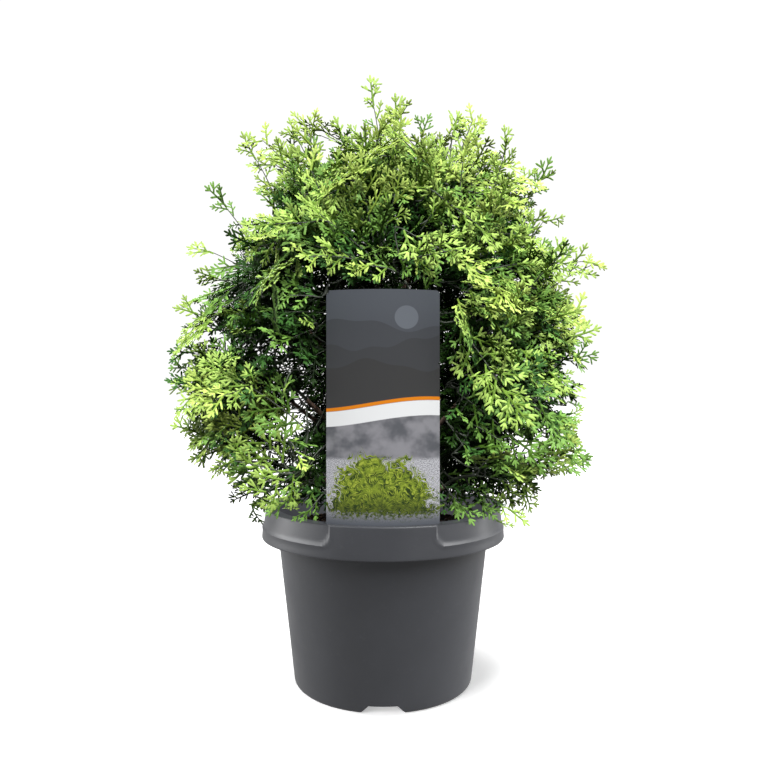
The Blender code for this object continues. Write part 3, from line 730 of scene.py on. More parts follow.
def card_mesh():
    """The card's front and back, joined by a rim that runs once round its outline."""
    front = list(card_grid(CARD_RADIUS + CARD_THICKNESS / 2))
    back = list(card_grid(CARD_RADIUS - CARD_THICKNESS / 2))
    wide, tall, shift = CARD_COLUMNS + 1, CARD_ROWS + 1, len(front)
    faces = []
    for row in range(CARD_ROWS):
        for column in range(CARD_COLUMNS):
            a = row * wide + column
            faces.append((a, a + 1, a + wide + 1, a + wide))
            faces.append((shift + a, shift + a + wide, shift + a + wide + 1, shift + a + 1))
    rim = list(range(wide))
    rim += [row * wide + wide - 1 for row in range(1, tall)]
    rim += [(tall - 1) * wide + column for column in range(wide - 2, -1, -1)]
    rim += [row * wide for row in range(tall - 2, 0, -1)]
    for a, b in zip(rim, rim[1:] + rim[:1]):
        faces.append((b, a, shift + a, shift + b))
    mesh = mesh_of("card", [place for place, _ in front + back], faces, smooth=True)
    spots = [spot for _, spot in front + back]
    layer = mesh.uv_layers.new(name="print")
    for loop in mesh.loops:
        layer.data[loop.index].uv = spots[loop.vertex_index]
    mesh.set_sharp_from_angle(angle=CARD_SHARP_ANGLE)
    return mesh


def stretched(tree, place, scale):
    return add_node(tree, "ShaderNodeMapping", {"Vector": place, "Scale": scale})


class Ink:
    """Builds the card's print from sums over its UV map, one mask laid on another."""

    def __init__(self, tree):
        self.tree = tree
        place = tree.nodes.new("ShaderNodeUVMap")
        place.uv_map = "print"
        self.uv = place.outputs["UV"]
        apart = add_node(tree, "ShaderNodeSeparateXYZ", {0: self.uv})
        self.u, self.v = apart.outputs["X"], apart.outputs["Y"]

    def sum(self, operation, *values):
        node = self.tree.nodes.new("ShaderNodeMath")
        node.operation = operation
        return feed(self.tree, node, dict(enumerate(values)))

    def step(self, value, low, high):
        """0 below low, 1 above high, smooth between."""
        node = ranged(self.tree, value, low, high)
        node.interpolation_type = "SMOOTHSTEP"
        return node

    def noise(self, scale, detail):
        return noise_on(self.tree, scale, detail, place=stretched(self.tree, self.uv, PRINT_STRETCH))

    def wave(self, base, *terms):
        """A height over the card's width: a base and some sine waves of (size, turns, start)."""
        total = base
        for size, turns, start in terms:
            angle = self.sum("MULTIPLY_ADD", self.u, 2 * math.pi * turns, start)
            total = self.sum("ADD", total, self.sum("MULTIPLY", self.sum("SINE", angle), size))
        return total

    def from_spot(self, u, v):
        """How far right of a spot and above it, in widths of the card."""
        up = self.sum("MULTIPLY", self.sum("SUBTRACT", self.v, v), PRINT_TALL)
        return self.sum("SUBTRACT", self.u, u), up

    def away(self, u, v):
        """How far from a spot, in widths of the card."""
        across, up = (self.sum("POWER", side, 2.0) for side in self.from_spot(u, v))
        return self.sum("SQRT", self.sum("ADD", across, up))

    def streaks(self, turn, away, round_scale, out_scale):
        """Noise drawn out along lines that spread from a spot, as leaves do."""
        across = self.sum("MULTIPLY", turn, round_scale)
        along = self.sum("MULTIPLY", away, out_scale)
        together = add_node(self.tree, "ShaderNodeCombineXYZ", {"X": across, "Y": along})
        return noise_on(self.tree, scale=1.0, detail=3, place=together)

    def between(self, value, low, high):
        starts = self.step(value, low, low + PRINT_EDGE)
        return self.sum("MULTIPLY", starts, self.step(value, high, high - PRINT_EDGE))

    def over(self, mask, ink, under):
        return colour_between(self.tree, mask, under, ink)


def printed_bush(ink, picture):
    """A round bush over the picture: leaf streaks from its middle, lit outside, dark at its foot."""
    across, up = ink.from_spot(*BUSH_MIDDLE)
    sway = ink.sum("MULTIPLY_ADD", ink.noise(7, 2), 1.6, -0.8)
    turn = ink.sum("ADD", ink.sum("ARCTAN2", across, up), sway)
    away = ink.away(*BUSH_MIDDLE)
    lobes = ink.sum("MULTIPLY_ADD", ink.streaks(turn, away, 3.0, 0.5), 0.50, 0.20)
    tufts = ink.sum("MULTIPLY_ADD", ink.streaks(turn, away, 22, 7), 0.44, -0.22)
    clumps = ink.step(ink.noise(17, 3), 0.38, 0.60)
    leaves = colour_between(ink.tree, clumps, *BUSH_GREENS)
    leaves = ink.over(ink.step(ink.streaks(turn, away, 30, 24), 0.50, 0.58), BUSH_LIGHT, leaves)
    leaves = ink.over(ink.step(ink.streaks(turn, away, 24, 18), 0.46, 0.36), BUSH_DARK, leaves)
    foot = ink.sum("ADD", ink.v, ink.sum("MULTIPLY_ADD", ink.noise(40, 3), 0.10, -0.05))
    leaves = ink.over(ink.sum("MULTIPLY", ink.step(foot, 0.26, 0.15), 0.75), BUSH_FOOT, leaves)
    inside = ink.sum("SUBTRACT", ink.sum("ADD", lobes, tufts), away)
    bush = ink.sum("MULTIPLY", ink.step(inside, -0.006, 0.006), ink.step(foot, 0.13, 0.16))
    return ink.over(bush, leaves, picture)


def card_print():
    """Slate with charcoal hills at the top, a white band with an orange line, a bush below."""
    made, tree, shader = new_material("card_print", CARD_ROUGHNESS)
    ink = Ink(tree)
    paint = colour_between(tree, ink.step(ink.v, 0.80, 1.0), SLATE_DARK, SLATE)
    paint = ink.over(ink.step(ink.away(*DISC_MIDDLE), *DISC_EDGE), DISC_GREY, paint)
    for base, waves, shade in HILLS:
        hill = ink.sum("SUBTRACT", ink.wave(base, *waves), ink.v)
        paint = ink.over(ink.step(hill, -0.0015, 0.0015), shade, paint)
    wall = colour_between(tree, ink.step(ink.noise(5, 3), 0.35, 0.65), *WALL_GREYS)
    gravel = colour_between(tree, ink.step(ink.noise(120, 5), 0.38, 0.60), *GRAVEL_GREYS)
    picture = ink.over(ink.step(ink.v, 0.37, 0.35), gravel, wall)
    picture = ink.over(ink.step(ink.v, 0.21, 0.11), SLATE, picture)
    picture = printed_bush(ink, picture)
    band = ink.sum("SUBTRACT", ink.v, ink.wave(*BAND_LINE))
    paint = ink.over(ink.step(band, 0.0, -0.002), picture, paint)
    paint = ink.over(ink.between(band, -0.030, 0.030), BAND_WHITE, paint)
    paint = ink.over(ink.between(band, 0.028, 0.044), BAND_ORANGE, paint)
    gloss = clouds(tree, scale=12, low=0.30, high=0.34)
    feed(tree, shader, {"Base Color": paint, "Roughness": gloss, **SHEEN})
    return made


def make_card():
    card = add_object("card", card_mesh(), card_print())
    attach(card, "root")
    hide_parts("picture_card")
    light_only_softly(card, "card")


make_card()

# The trunk and its boughs: one upright stem that sways a little as it rises, and boughs in
# four tiers that leave it on all sides and bend up to the masses they bear. Their bark is
# thin, red-brown, and splits lengthwise into narrow strips.
UP = Vector((0, 0, 1))
TRUNK_TOP = 0.372
TRUNK_FOOT_RADIUS = 0.0085
TRUNK_TIP_RADIUS = 0.0016
FLARE_RADIUS = 0.0125
FLARE_HEIGHT = 0.014
TRUNK_SWAY = 0.005
TRUNK_POINTS = 12
CROWN_MIDDLE = 0.215
CROWN_SIDE = 0.159
CROWN_FRONT = 0.128
CROWN_BACK = 0.142
CROWN_UP = 0.222
CROWN_DOWN = 0.098
CROWN_POWER = 2.5
CROWN_REACH = 1.045

# Each tier: its name, its height, how many masses it has, the first and last azimuth, their
# share of the crown's reach, where its first bough leaves the trunk, and the boughs' radius.
TIERS = (
    ("skirt", 0.168, 6, -46, 226, 0.72, 0.131, 0.0032),
    ("lower", 0.236, 6, -40, 220, 0.70, 0.160, 0.0033),
    ("middle", 0.312, 5, -90, 198, 0.66, 0.204, 0.0029),
    ("upper", 0.376, 4, -45, 225, 0.60, 0.266, 0.0022),
)
TIER_SPIRAL = 0.004
AZIMUTH_JITTER = 4
HEIGHT_JITTER = 0.006
LEADER_HEIGHT = 0.410

# Each inner mass: its azimuth, radius and height, and where its stem leaves the trunk.
INNER = (
    (-90, 0.040, 0.246, 0.193),
    (84, 0.030, 0.272, 0.230),
)
BOUGH_TIP_RADIUS = 0.0014
BOUGH_SAG = 0.010
BOUGH_POINTS = 5
BOUGH_SHORT_OF_MASS = 0.032
SEED = 11
GAP = 0.0003
TRUNK_SIDES = 40
TRUNK_STEPS = 16
BOUGH_SIDES = 14
BOUGH_STEPS = 9
BARK_STRIPS = 13
BARK_DEPTH = 0.09
BARK_STRETCH = (1, 1, 0.16)
BARK_ROUGHNESS = 0.85
BARK_BROWNS = ((0.034, 0.017, 0.010), (0.150, 0.082, 0.048))

Mass = namedtuple("Mass", "name centre bough stem")
Limb = namedtuple("Limb", "points radii")


def trunk_centre(height):
    """The trunk leans a little one way and back as it rises."""
    rise = (height - soil_level()) / (TRUNK_TOP - soil_level())
    return Vector(
        (
            -TRUNK_SWAY * math.sin(math.pi * rise),
            0.7 * TRUNK_SWAY * math.sin(1.6 * math.pi * rise),
            height,
        )
    )


def trunk_radius(height):
    rise = (height - soil_level()) / (TRUNK_TOP - soil_level())
    shaft = TRUNK_FOOT_RADIUS + (TRUNK_TIP_RADIUS - TRUNK_FOOT_RADIUS) * rise
    flare = math.exp(-(height - soil_level()) / (FLARE_HEIGHT / 2))
    return shaft + (FLARE_RADIUS - TRUNK_FOOT_RADIUS) * flare


def trunk_limb():
    foot = soil_level() + GAP
    rises = [(i / (TRUNK_POINTS - 1)) ** 1.25 for i in range(TRUNK_POINTS)]
    heights = [foot + (TRUNK_TOP - foot) * rise for rise in rises]
    points = [trunk_centre(h) for h in heights]
    points[0].xy = points[1].xy
    return Limb(points, [trunk_radius(h) for h in heights])


def crown_measures(points, power=CROWN_POWER):
    """For each point 0 at the crown's middle and 1 on its outline, a dome of superellipses."""
    x, y, z = np.asarray(points, float).T
    above = z - CROWN_MIDDLE
    tall = np.abs(above) / np.where(above > 0, CROWN_UP, CROWN_DOWN)
    flat = np.hypot(x / CROWN_SIDE, y / np.where(y < 0, CROWN_FRONT, CROWN_BACK))
    return (flat**power + tall**power) ** (1 / power)


def crown_measure(point):
    return float(crown_measures([point])[0])


def crown_reach_at(level, height):
    """How far the crown's outline lies from the axis, in a level direction at a height."""
    low, high = 0.0, 0.3
    for _ in range(24):
        middle = (low + high) / 2
        if crown_measure(level * middle + UP * height) < 1:
            low = middle
        else:
            high = middle
    return low


def tip_of(limb):
    """Where a stem starts off a limb's tip, and the way it leaves."""
    way = (limb.points[-1] - limb.points[-2]).normalized()
    return limb.points[-1] + way * GAP, way


def plan_bough(root, centre, radius):
    """A limb from inside the trunk to just short of its mass, bending up on the way."""
    tip = centre + (root - centre).normalized() * BOUGH_SHORT_OF_MASS
    bend = (root + tip) / 2 - UP * BOUGH_SAG
    points, radii = [], []
    for i in range(BOUGH_POINTS):
        t = i / (BOUGH_POINTS - 1)
        points.append(root * (1 - t) ** 2 + bend * 2 * t * (1 - t) + tip * t * t)
        radii.append(radius + (BOUGH_TIP_RADIUS - radius) * t**0.8)
    return Limb(points, radii)


def plan_masses():
    """The masses of foliage, in tiers round the trunk, and the bough that bears each."""
    draw = random.Random(SEED)
    masses = []
    for tier, height, count, first, last, share, start, radius in TIERS:
        for i in range(count):
            azimuth = first + (last - first) / (count - 1) * i
            azimuth += draw.uniform(-AZIMUTH_JITTER, AZIMUTH_JITTER)
            level = around(azimuth, 1.0, 0)
            reach = crown_reach_at(level, height + draw.uniform(-HEIGHT_JITTER, HEIGHT_JITTER))
            centre = Vector((level.x * reach * share, level.y * reach * share, height))
            root = trunk_centre(start + TIER_SPIRAL * i)
            bough = plan_bough(root, centre, radius)
            masses.append(Mass(f"{tier}_{i + 1}", centre, bough, tip_of(bough)))
    for i, (azimuth, radius, height, start) in enumerate(INNER):
        way = around(azimuth, 1.0, 0.4).normalized()
        root = trunk_centre(start) + around(azimuth, trunk_radius(start) + GAP * 2, 0)
        centre = around(azimuth, radius, height)
        masses.append(Mass(f"inner_{i + 1}", centre, None, (root, way)))
    leader = Vector((0, 0, LEADER_HEIGHT))
    masses.append(Mass("leader", leader, None, tip_of(trunk_limb())))
    return masses


def smooth_path(points, radii, steps):
    """Points and radii along a soft curve through the given ones."""
    points = [Vector(p) for p in points]
    ends = [points[0] * 2 - points[1]] + points + [points[-1] * 2 - points[-2]]
    path, thick = [], []
    for i in range(len(points) - 1):
        a, b, c, d = ends[i : i + 4]
        for k in range(steps if i < len(points) - 2 else steps + 1):
            t = k / steps
            bent = (a * 2 - b * 5 + c * 4 - d) * t**2
            path.append((b * 2 + (c - a) * t + bent + (b * 3 - a - c * 3 + d) * t**3) / 2)
            thick.append(radii[i] + (radii[i + 1] - radii[i]) * t)
    return path, thick


def bark_swell(turn, place):
    """How far the bark stands out at a spot, by its long strips and its fine grain."""
    across, aside = math.cos(turn), math.sin(turn)
    strip = noise.noise(Vector((across * BARK_STRIPS / 3, aside * BARK_STRIPS / 3, place.z * 55)))
    fine = noise.noise(Vector((across * 9, aside * 9, place.z * 240 + place.x * 90)))
    return 1.3 * abs(strip) * 2 - 0.5 + 0.45 * fine


def tube(path, radii, sides, points, faces, rough=0.0):
    """Adds a round tube along a path to lists of points and faces, its ends closed."""
    side = None
    first = len(points)
    for i, (place, radius) in enumerate(zip(path, radii)):
        along = (path[min(i + 1, len(path) - 1)] - path[max(i - 1, 0)]).normalized()
        if side is None:
            side = along.orthogonal().normalized()
        side = (side - along * side.dot(along)).normalized()
        other = along.cross(side)
        for k in range(sides):
            turn = 2 * math.pi * k / sides
            out = side * math.cos(turn) + other * math.sin(turn)
            far = radius * (1 + rough * bark_swell(turn, place)) if rough else radius
            points.append(tuple(place + out * far))
    for i in range(len(path) - 1):
        for k in range(sides):
            a = first + i * sides
            b = a + sides
            n = (k + 1) % sides
            faces.append((a + k, a + n, b + n, b + k))
    faces.append(tuple(reversed(range(first, first + sides))))
    faces.append(tuple(range(first + (len(path) - 1) * sides, first + len(path) * sides)))


def bark_material(name, dark, light):
    """Red-brown bark: long pale strips on darker cracks, stretched along the limb."""
    made, tree, shader = new_material(name, BARK_ROUGHNESS)
    strips = noise_on(tree, scale=520, detail=6, place=stretched(tree, object_place(tree), BARK_STRETCH))
    barked = colour_between(tree, ranged(tree, strips, 0.38, 0.62), dark, light)
    grey = tuple(0.6 * c + 0.05 for c in light)
    weathered = colour_between(tree, clouds(tree, scale=90, low=0, high=0.7), barked, grey)
    feed(tree, shader, {"Base Color": weathered})
    relief(tree, shader, strips, strength=0.9, depth=0.0006)
    return made


def make_limbs(masses):
    bark = bark_material("bark", *BARK_BROWNS)
    trunk = trunk_limb()
    points, faces = [], []
    tube(*smooth_path(trunk.points, trunk.radii, TRUNK_STEPS), TRUNK_SIDES, points, faces, BARK_DEPTH)
    stem = add_object("trunk_bark", mesh_of("trunk_bark", points, faces, True), bark)
    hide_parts("trunk")
    points, faces = [], []
    for mass in masses:
        if mass.bough:
            path, radii = smooth_path(mass.bough.points, mass.bough.radii, BOUGH_STEPS)
            tube(path, radii, BOUGH_SIDES, points, faces, BARK_DEPTH)
    boughs = add_object("bough_bark", mesh_of("bough_bark", points, faces, True), bark)
    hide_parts(*[f"bough_{mass.name}" for mass in masses if mass.bough])
    for piece in (stem, boughs):
        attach(piece, "root")


MASSES = plan_masses()
make_limbs(MASSES)

# The foliage: twigs branch from each bough's tip to flat fans, and each fan bears smaller
# fronds on alternate sides, with scale-leaved branchlets like blunt fingers along every
# rib. The young tips are lime to golden, the older inner parts a deeper, bluer green. The
# tones also hold painted shade, darker deep in the crown, and painted light, lighter at its
# top and right side and in patches seen from the front.
TWIG_RADIUS = 0.0009
TWIG_TIP_RADIUS = 0.00035
TWIG_SIDES = 3
TWIG_SAG = 0.12
TWIG_BARK = ((0.004, 0.008, 0.002), (0.013, 0.024, 0.005))
STEM_RADII = (0.0014, 0.0012, 0.0010)
STEM_STEPS = 4
STEM_SIDES = 6
STEM_SUNK = 0.001
TWIG_LEAVES_OUT = 0.002
SPRAY_TRIES = 150
SPRAYS_IN_SOLIDS = 7
SPRAY_LENGTH = 0.084
SPRAY_SIZES = (1.0, 0.88, 0.77, 0.67, 0.58, 0.50, 0.42)
SPRAY_TEETH_A_SIDE = 2
SPRAY_WIDTH = 0.36
SPRAY_SUNK_START = 0.008
SPRAY_TWIG_START = 0.030
SHARE_ON_TWIGS = 0.3
SPRAY_SPACING = 0.42
SPRAY_TURN_BACK = -0.45
SPRAY_LIFT = 0.45
SPRAY_DROOP = 0.35
SPRAY_SCATTER = 0.15
SPRAY_FACE_UP = 0.5
SPRAY_FACE_SCATTER = 0.35
SHOOT_PAST_CROWN = 2.0
SHOOT_LEAN = 0.6
SLOPE_STEP = 0.001
CELL_MARGIN = -0.006
OTHERS_NEAR = 0.2
LIMBS_NEAR = 0.11
LIMB_CLEARANCE = 0.0008
POT_CLEARANCE = 0.0015
CARD_CLEARANCE = 0.003

# The tips of the crown's longest shoots: azimuth, radius and height.
SHOOTS = (
    (0, 0.0160, 0.4735),
    (8, 0.1770, 0.2930),
    (-6, 0.1690, 0.3370),
    (10, 0.1690, 0.1850),
    (176, 0.1760, 0.2700),
    (186, 0.1600, 0.1850),
    (172, 0.1340, 0.3830),
    (190, 0.1080, 0.4270),
    (215, 0.0740, 0.4440),
    (-24, 0.0790, 0.4460),
    (15, 0.1220, 0.4200),
    (94, 0.1500, 0.2500),
    (-70, 0.1590, 0.3150),
    (-110, 0.1590, 0.3200),
    (60, 0.1500, 0.3400),
    (130, 0.1480, 0.3300),
    (75, 0.0920, 0.4300),
    (115, 0.1620, 0.1900),
    (-40, 0.1640, 0.2150),
    (-142, 0.1620, 0.2250),
)

# Some fans stand out at the front: their feet, their tips, how wide they are, and how young
# and lit their tones are; this last holds painted light and shade along with age.
PLACED_FANS = (
    ((-0.060, -0.060, 0.162), (-0.130, -0.056, 0.249), 0.36, 1.04),
    ((-0.052, -0.078, 0.200), (-0.114, -0.078, 0.256), 0.30, 0.86),
    ((0.008, -0.104, 0.334), (0.066, -0.112, 0.306), 0.28, 1.00),
    ((-0.036, -0.102, 0.338), (-0.088, -0.098, 0.336), 0.26, 0.86),
    ((0.047, -0.094, 0.275), (0.094, -0.100, 0.214), 0.32, 0.90),
    ((0.050, -0.090, 0.226), (0.108, -0.086, 0.184), 0.32, 0.76),
    ((-0.056, -0.076, 0.172), (-0.104, -0.074, 0.143), 0.34, 0.92),
    ((0.096, -0.050, 0.262), (0.150, -0.048, 0.288), 0.32, 1.06),
    ((-0.040, -0.050, 0.168), (-0.076, -0.066, 0.146), 0.42, 0.78),
    ((-0.036, -0.060, 0.160), (-0.056, -0.072, 0.143), 0.42, 0.68),
    ((0.038, -0.052, 0.165), (0.060, -0.070, 0.143), 0.42, 0.68),
    ((0.044, -0.048, 0.168), (0.080, -0.060, 0.146), 0.42, 0.76),
    ((0.030, -0.100, 0.360), (0.075, -0.092, 0.330), 0.32, 0.90),
    ((-0.010, -0.096, 0.372), (-0.052, -0.090, 0.350), 0.32, 0.86),
)
PLACED_SHOOTS = (
    ((-0.002, -0.010, 0.410), (-0.006, -0.010, 0.466), 0.17, 0.84),
    ((-0.050, -0.016, 0.384), (-0.066, -0.020, 0.432), 0.22, 0.92),
    ((-0.082, -0.016, 0.372), (-0.101, -0.020, 0.422), 0.22, 0.90),
    ((-0.026, -0.020, 0.392), (-0.034, -0.024, 0.430), 0.22, 0.80),
    ((0.024, -0.006, 0.394), (0.031, -0.008, 0.440), 0.22, 0.66),
    ((0.056, -0.018, 0.388), (0.068, -0.022, 0.434), 0.22, 0.98),
    ((0.084, -0.014, 0.374), (0.100, -0.018, 0.422), 0.22, 0.86),
    ((0.100, -0.010, 0.352), (0.128, -0.012, 0.402), 0.22, 0.78),
    ((0.122, -0.016, 0.300), (0.170, -0.020, 0.338), 0.24, 0.98),
    ((-0.100, -0.006, 0.340), (-0.134, -0.008, 0.384), 0.22, 0.72),
)
PLACED_FAN_VIEW = 0.017
PLACED_FAN_BEFORE = 0.003
PLACED_FAN_STALK = 0.2
PLACED_OUT = 0.6
PLACED_LOOKS = Vector((0, -0.9, 0.3))
PLACED_SCATTER = 0.3

# Patches of painted light and shade on the foliage, seen from the front, where its tones are
# lighter or darker than its place in the crown says: each patch's middle, half its width and
# height, and by how much its tones are lighter (darker where negative).
PAINTED_LIGHT_PATCHES = (
    (-0.112, 0.286, 0.050, 0.064, -0.18),
    (-0.068, 0.240, 0.026, 0.060, -0.10),
    (0.000, 0.300, 0.085, 0.022, 0.12),
    (0.110, 0.140, 0.044, 0.032, -0.10),
    (-0.126, 0.358, 0.034, 0.034, -0.20),
    (0.153, 0.330, 0.030, 0.030, -0.10),
    (0.113, 0.203, 0.034, 0.030, -0.20),
    (0.158, 0.225, 0.032, 0.080, -0.12),
    (-0.166, 0.235, 0.028, 0.060, -0.22),
    (-0.004, 0.334, 0.026, 0.020, -0.10),
    (-0.086, 0.267, 0.020, 0.018, 0.10),
    (0.069, 0.388, 0.040, 0.034, 0.06),
    (0.070, 0.240, 0.024, 0.050, 0.05),
    (-0.010, 0.370, 0.100, 0.040, -0.08),
)

# Finer fans fill the space between the main ones. They stand closer in the crown's outer
# shell than inside it, and leave some windows where the sky shows through.
FAN_TRIES = 1500
FAN_SCATTER = 0.075
FAN_SHORTEST = 0.030
FAN_LONGEST = 0.058
FAN_SPACING_SHELL = 0.0130
FAN_SPACING_INSIDE = 0.0212
SHELL_STARTS = 0.72
FAN_POWER = 2.05
FAN_REACH = 0.97
FAN_CORNERS = ((0, 0), (0.55, 0.3), (0.55, -0.3), (1, 0))
FAN_SHRINKS = 3
FAN_SHRINK = 0.8
FAN_MIDDLE = 0.55
LOW_RISE = -10
HIGH_RISE = 66
RISE_SCATTER = 38
TURN_SCATTER = 74
NEAR_AXIS = 0.012
FACE_OUT = 0.4
FACE_ASIDE = 0.55
FACE_UP = 0.5
FACE_SCATTER = 0.7
FROND_REACH = 1.0
MAIN_FROND_REACH = 1.04
SLENDER_SHARE = 0.2
SLENDER_REACH = 1.03
SLENDER_OUT = 0.8
SLENDER_UP = 0.6

# Each window as the front is seen: its middle, half its width and height, and the share of
# the foliage that is left in it.
SKY_WINDOWS = (
    (-0.074, 0.2004, 0.019, 0.015, 0.0),
    (-0.093, 0.2610, 0.010, 0.008, 0.1),
    (-0.078, 0.2490, 0.010, 0.007, 0.1),
    (-0.060, 0.2440, 0.008, 0.007, 0.1),
    (-0.066, 0.2227, 0.011, 0.009, 0.0),
    (-0.099, 0.1710, 0.020, 0.012, 0.3),
    (-0.126, 0.2665, 0.011, 0.008, 0.2),
    (-0.120, 0.2980, 0.008, 0.007, 0.3),
    (0.145, 0.2148, 0.012, 0.010, 0.1),
    (0.109, 0.1813, 0.017, 0.013, 0.0),
    (0.129, 0.1890, 0.009, 0.008, 0.1),
    (0.153, 0.2307, 0.020, 0.030, 0.5),
    (0.145, 0.142, 0.036, 0.034, 0.3),
    (-0.080, 0.172, 0.020, 0.010, 0.4),
    (-0.142, 0.150, 0.036, 0.034, 0.15),
    (-0.166, 0.205, 0.020, 0.030, 0.4),
    (-0.140, 0.388, 0.050, 0.070, 0.02),
    (-0.117, 0.394, 0.018, 0.016, 0.0),
    (-0.0788, 0.429, 0.010, 0.008, 0.0),
    (-0.0454, 0.4178, 0.010, 0.012, 0.0),
    (-0.0183, 0.4433, 0.013, 0.012, 0.0),
    (-0.0884, 0.3987, 0.013, 0.010, 0.0),
    (-0.0621, 0.4059, 0.007, 0.007, 0.0),
    (-0.1043, 0.3764, 0.011, 0.009, 0.0),
    (-0.0924, 0.3676, 0.006, 0.007, 0.0),
    (0.0231, 0.4274, 0.008, 0.011, 0.0),
    (0.0462, 0.4401, 0.009, 0.011, 0.0),
    (0.0549, 0.4194, 0.007, 0.007, 0.0),
    (0.0932, 0.4218, 0.011, 0.011, 0.0),
    (0.1027, 0.4051, 0.008, 0.009, 0.0),
    (0.129, 0.3581, 0.009, 0.011, 0.0),
    (0.1226, 0.3732, 0.007, 0.007, 0.0),
    (-0.130, 0.3300, 0.012, 0.014, 0.2),
)
FROND_LENGTHS = (0.012, 0.017, 0.023, 0.030)
FROND_FORMS = 4
CORD_WIDTH = 0.00148
CORD_RISE = 0.5
FINGER_LENGTH = 0.0052
FINGER_NECK = 0.78
FINGER_FOOT = 0.85
FINGER_TIP = 0.55
RIB_STEP = 0.0037
SHORTEST_RIB = 0.0036
RIB_LIFT = (-0.22, 0.12)
RIB_CURL = math.radians(7)
RIB_ANGLES = (44, 60)
FINGER_ANGLES = (30, 46)
FINGER_LIFT = 0.25
SINGLE_FINGERS = 0.45
FROND_BEND = 0.35
FROND_ARCH = (1.2, 7.5)
SHORTEST_FROND = 0.010
FROND_STEP = 0.0088
SHOOT_WIDTH = 0.22
MAIN_WIDTH = 0.40
FINE_WIDTH = 0.50
FRONDS_START = 0.10
FRONDS_SPAN = 0.70
END_FROND_STARTS = 0.70
END_FROND_SHARE = 0.34
FAN_BEND = 0.12
FAN_NOD = (0.05, 0.26)
FROND_ANGLES = (40, 56)
FROND_SCATTER = 0.28
WARP_SIZE = 0.0034
WARP_SCALE = 34.0
CARD_GAP = 0.0009
CARD_POKE = 0.006
BOX_MARGIN = -0.003
FROND_CLEARANCE = Vector((0, 0.004, 0))
SHOOT_REACH = 1.07
SHOOTS_FREE_BELOW = 0.36
SPARSEST_FAN = 0.4
FROND_CORNERS = ((1, 0), (0.6, 0), (0.6, 1), (0.6, -1))
YOUNGER_TO_TIP = 0.2
TONE_MIDDLE = 0.45

Spray = namedtuple("Spray", "root axis normal length shoot main width age", defaults=(True, None, None))
Space = namedtuple("Space", "centre others starts alongs radii")
Frond = namedtuple("Frond", "root axis normal length tone")


def outward(point):
    """The direction in which the crown's outline lies nearest to a point."""
    here = crown_measure(point)
    nudges = [Vector(unit) * SLOPE_STEP for unit in ((1, 0, 0), (0, 1, 0), (0, 0, 1))]
    return Vector([crown_measure(point + nudge) - here for nudge in nudges]).normalized()


def spread_directions(count, turn):
    """Directions spread evenly over a ball, by the golden angle."""
    golden = math.pi * (3 - math.sqrt(5))
    for i in range(count):
        z = 1 - (2 * i + 1) / count
        flat = math.sqrt(1 - z * z)
        angle = i * golden + turn
        yield Vector((flat * math.cos(angle), flat * math.sin(angle), z))


def space_of(mass, masses, limbs):
    """What bounds a mass's own space: the middles of the others, and the limbs near it."""
    centre = np.array(mass.centre)
    others = np.array([other.centre for other in masses if other is not mass])
    others = others[np.linalg.norm(others - centre, axis=1) < OTHERS_NEAR]
    starts = np.vstack([limb.points[:-1] for limb in limbs])
    alongs = np.vstack([limb.points[1:] for limb in limbs]) - starts
    radii = np.hstack([limb.radii[:-1] for limb in limbs])
    near = np.linalg.norm(starts - centre, axis=1) < LIMBS_NEAR
    return Space(centre, others, starts[near], alongs[near], radii[near])


def clear_of_limbs(points, space):
    """Which points keep their distance from the trunk and the boughs."""
    away = points[:, None] - space.starts
    t = (away * space.alongs).sum(2) / (space.alongs * space.alongs).sum(1)
    apart = np.linalg.norm(away - space.alongs * np.clip(t, 0, 1)[..., None], axis=2)
    return (apart > space.radii + LIMB_CLEARANCE).all(1)


def in_cell(points, space):
    """Which points are nearer to this mass than to any other, with a margin."""
    mine = ((points - space.centre) ** 2).sum(1)
    theirs = ((points[:, None] - space.others) ** 2).sum(2)
    apart = np.linalg.norm(space.others - space.centre, axis=1)
    return (theirs - mine[:, None] > 2 * CELL_MARGIN * apart).all(1)


def clear_of_pot_and_card(points):
    x, y, z = points.T
    by_pot = (z < POT_HEIGHT + POT_CLEARANCE) & (np.hypot(x, y) < COLLAR_RADIUS + POT_CLEARANCE)
    card_front = -CARD_RADIUS * math.cos(math.asin(CARD_WIDTH / 2 / CARD_RADIUS)) + CARD_CLEARANCE
    by_card = (np.abs(x) < CARD_WIDTH / 2 + CARD_CLEARANCE) & (y < card_front)
    return ~(by_pot | (by_card & (z < CARD_TOP + CARD_CLEARANCE)))


def free(points, space, reach=CROWN_REACH):
    """Which points are inside a mass's own space."""
    return (
        (crown_measures(points) < reach)
        & clear_of_pot_and_card(points)
        & in_cell(points, space)
        & clear_of_limbs(points, space)
    )


def spray_outline():
    """A flat fan's reach as a blade of length 1: a stalk, teeth that lean forward, and a tip."""
    side = [(0, 0.035)]
    for i in range(SPRAY_TEETH_A_SIDE):
        along = (i + 0.9) / (SPRAY_TEETH_A_SIDE + 0.9)
        width = SPRAY_WIDTH * math.sin(math.pi * (0.22 + 0.72 * along)) ** 0.6
        side.append((along + 0.08, width))
        side.append((along + 0.10, 0.42 * width))
    return np.array(side + [(1, 0)] + [(x, -y) for x, y in reversed(side)])


def spray_points(spray, outline):
    """Points spread over a fan, to test where it reaches."""
    shares = np.linspace(0.2, 1, 5)[:, None, None]
    flat = np.array((0.4, 0)) * (1 - shares) + outline * shares
    x, y = flat.reshape(-1, 2).T[..., None] * spray.length
    side = np.array(spray.normal.cross(spray.axis))
    return np.array(spray.root) + x * np.array(spray.axis) + y * side


def widest_spray(aim, space, outline, reach=CROWN_REACH):
    """The largest fan of an aim, a function of its length, that stays in the mass's space."""
    for size in SPRAY_SIZES:
        spray = aim(SPRAY_LENGTH * size)
        if free(spray_points(spray, outline), space, reach).all():
            return spray
    return None


def random_vector(draw, size):
    return Vector([draw.uniform(-size, size) for _ in range(3)])


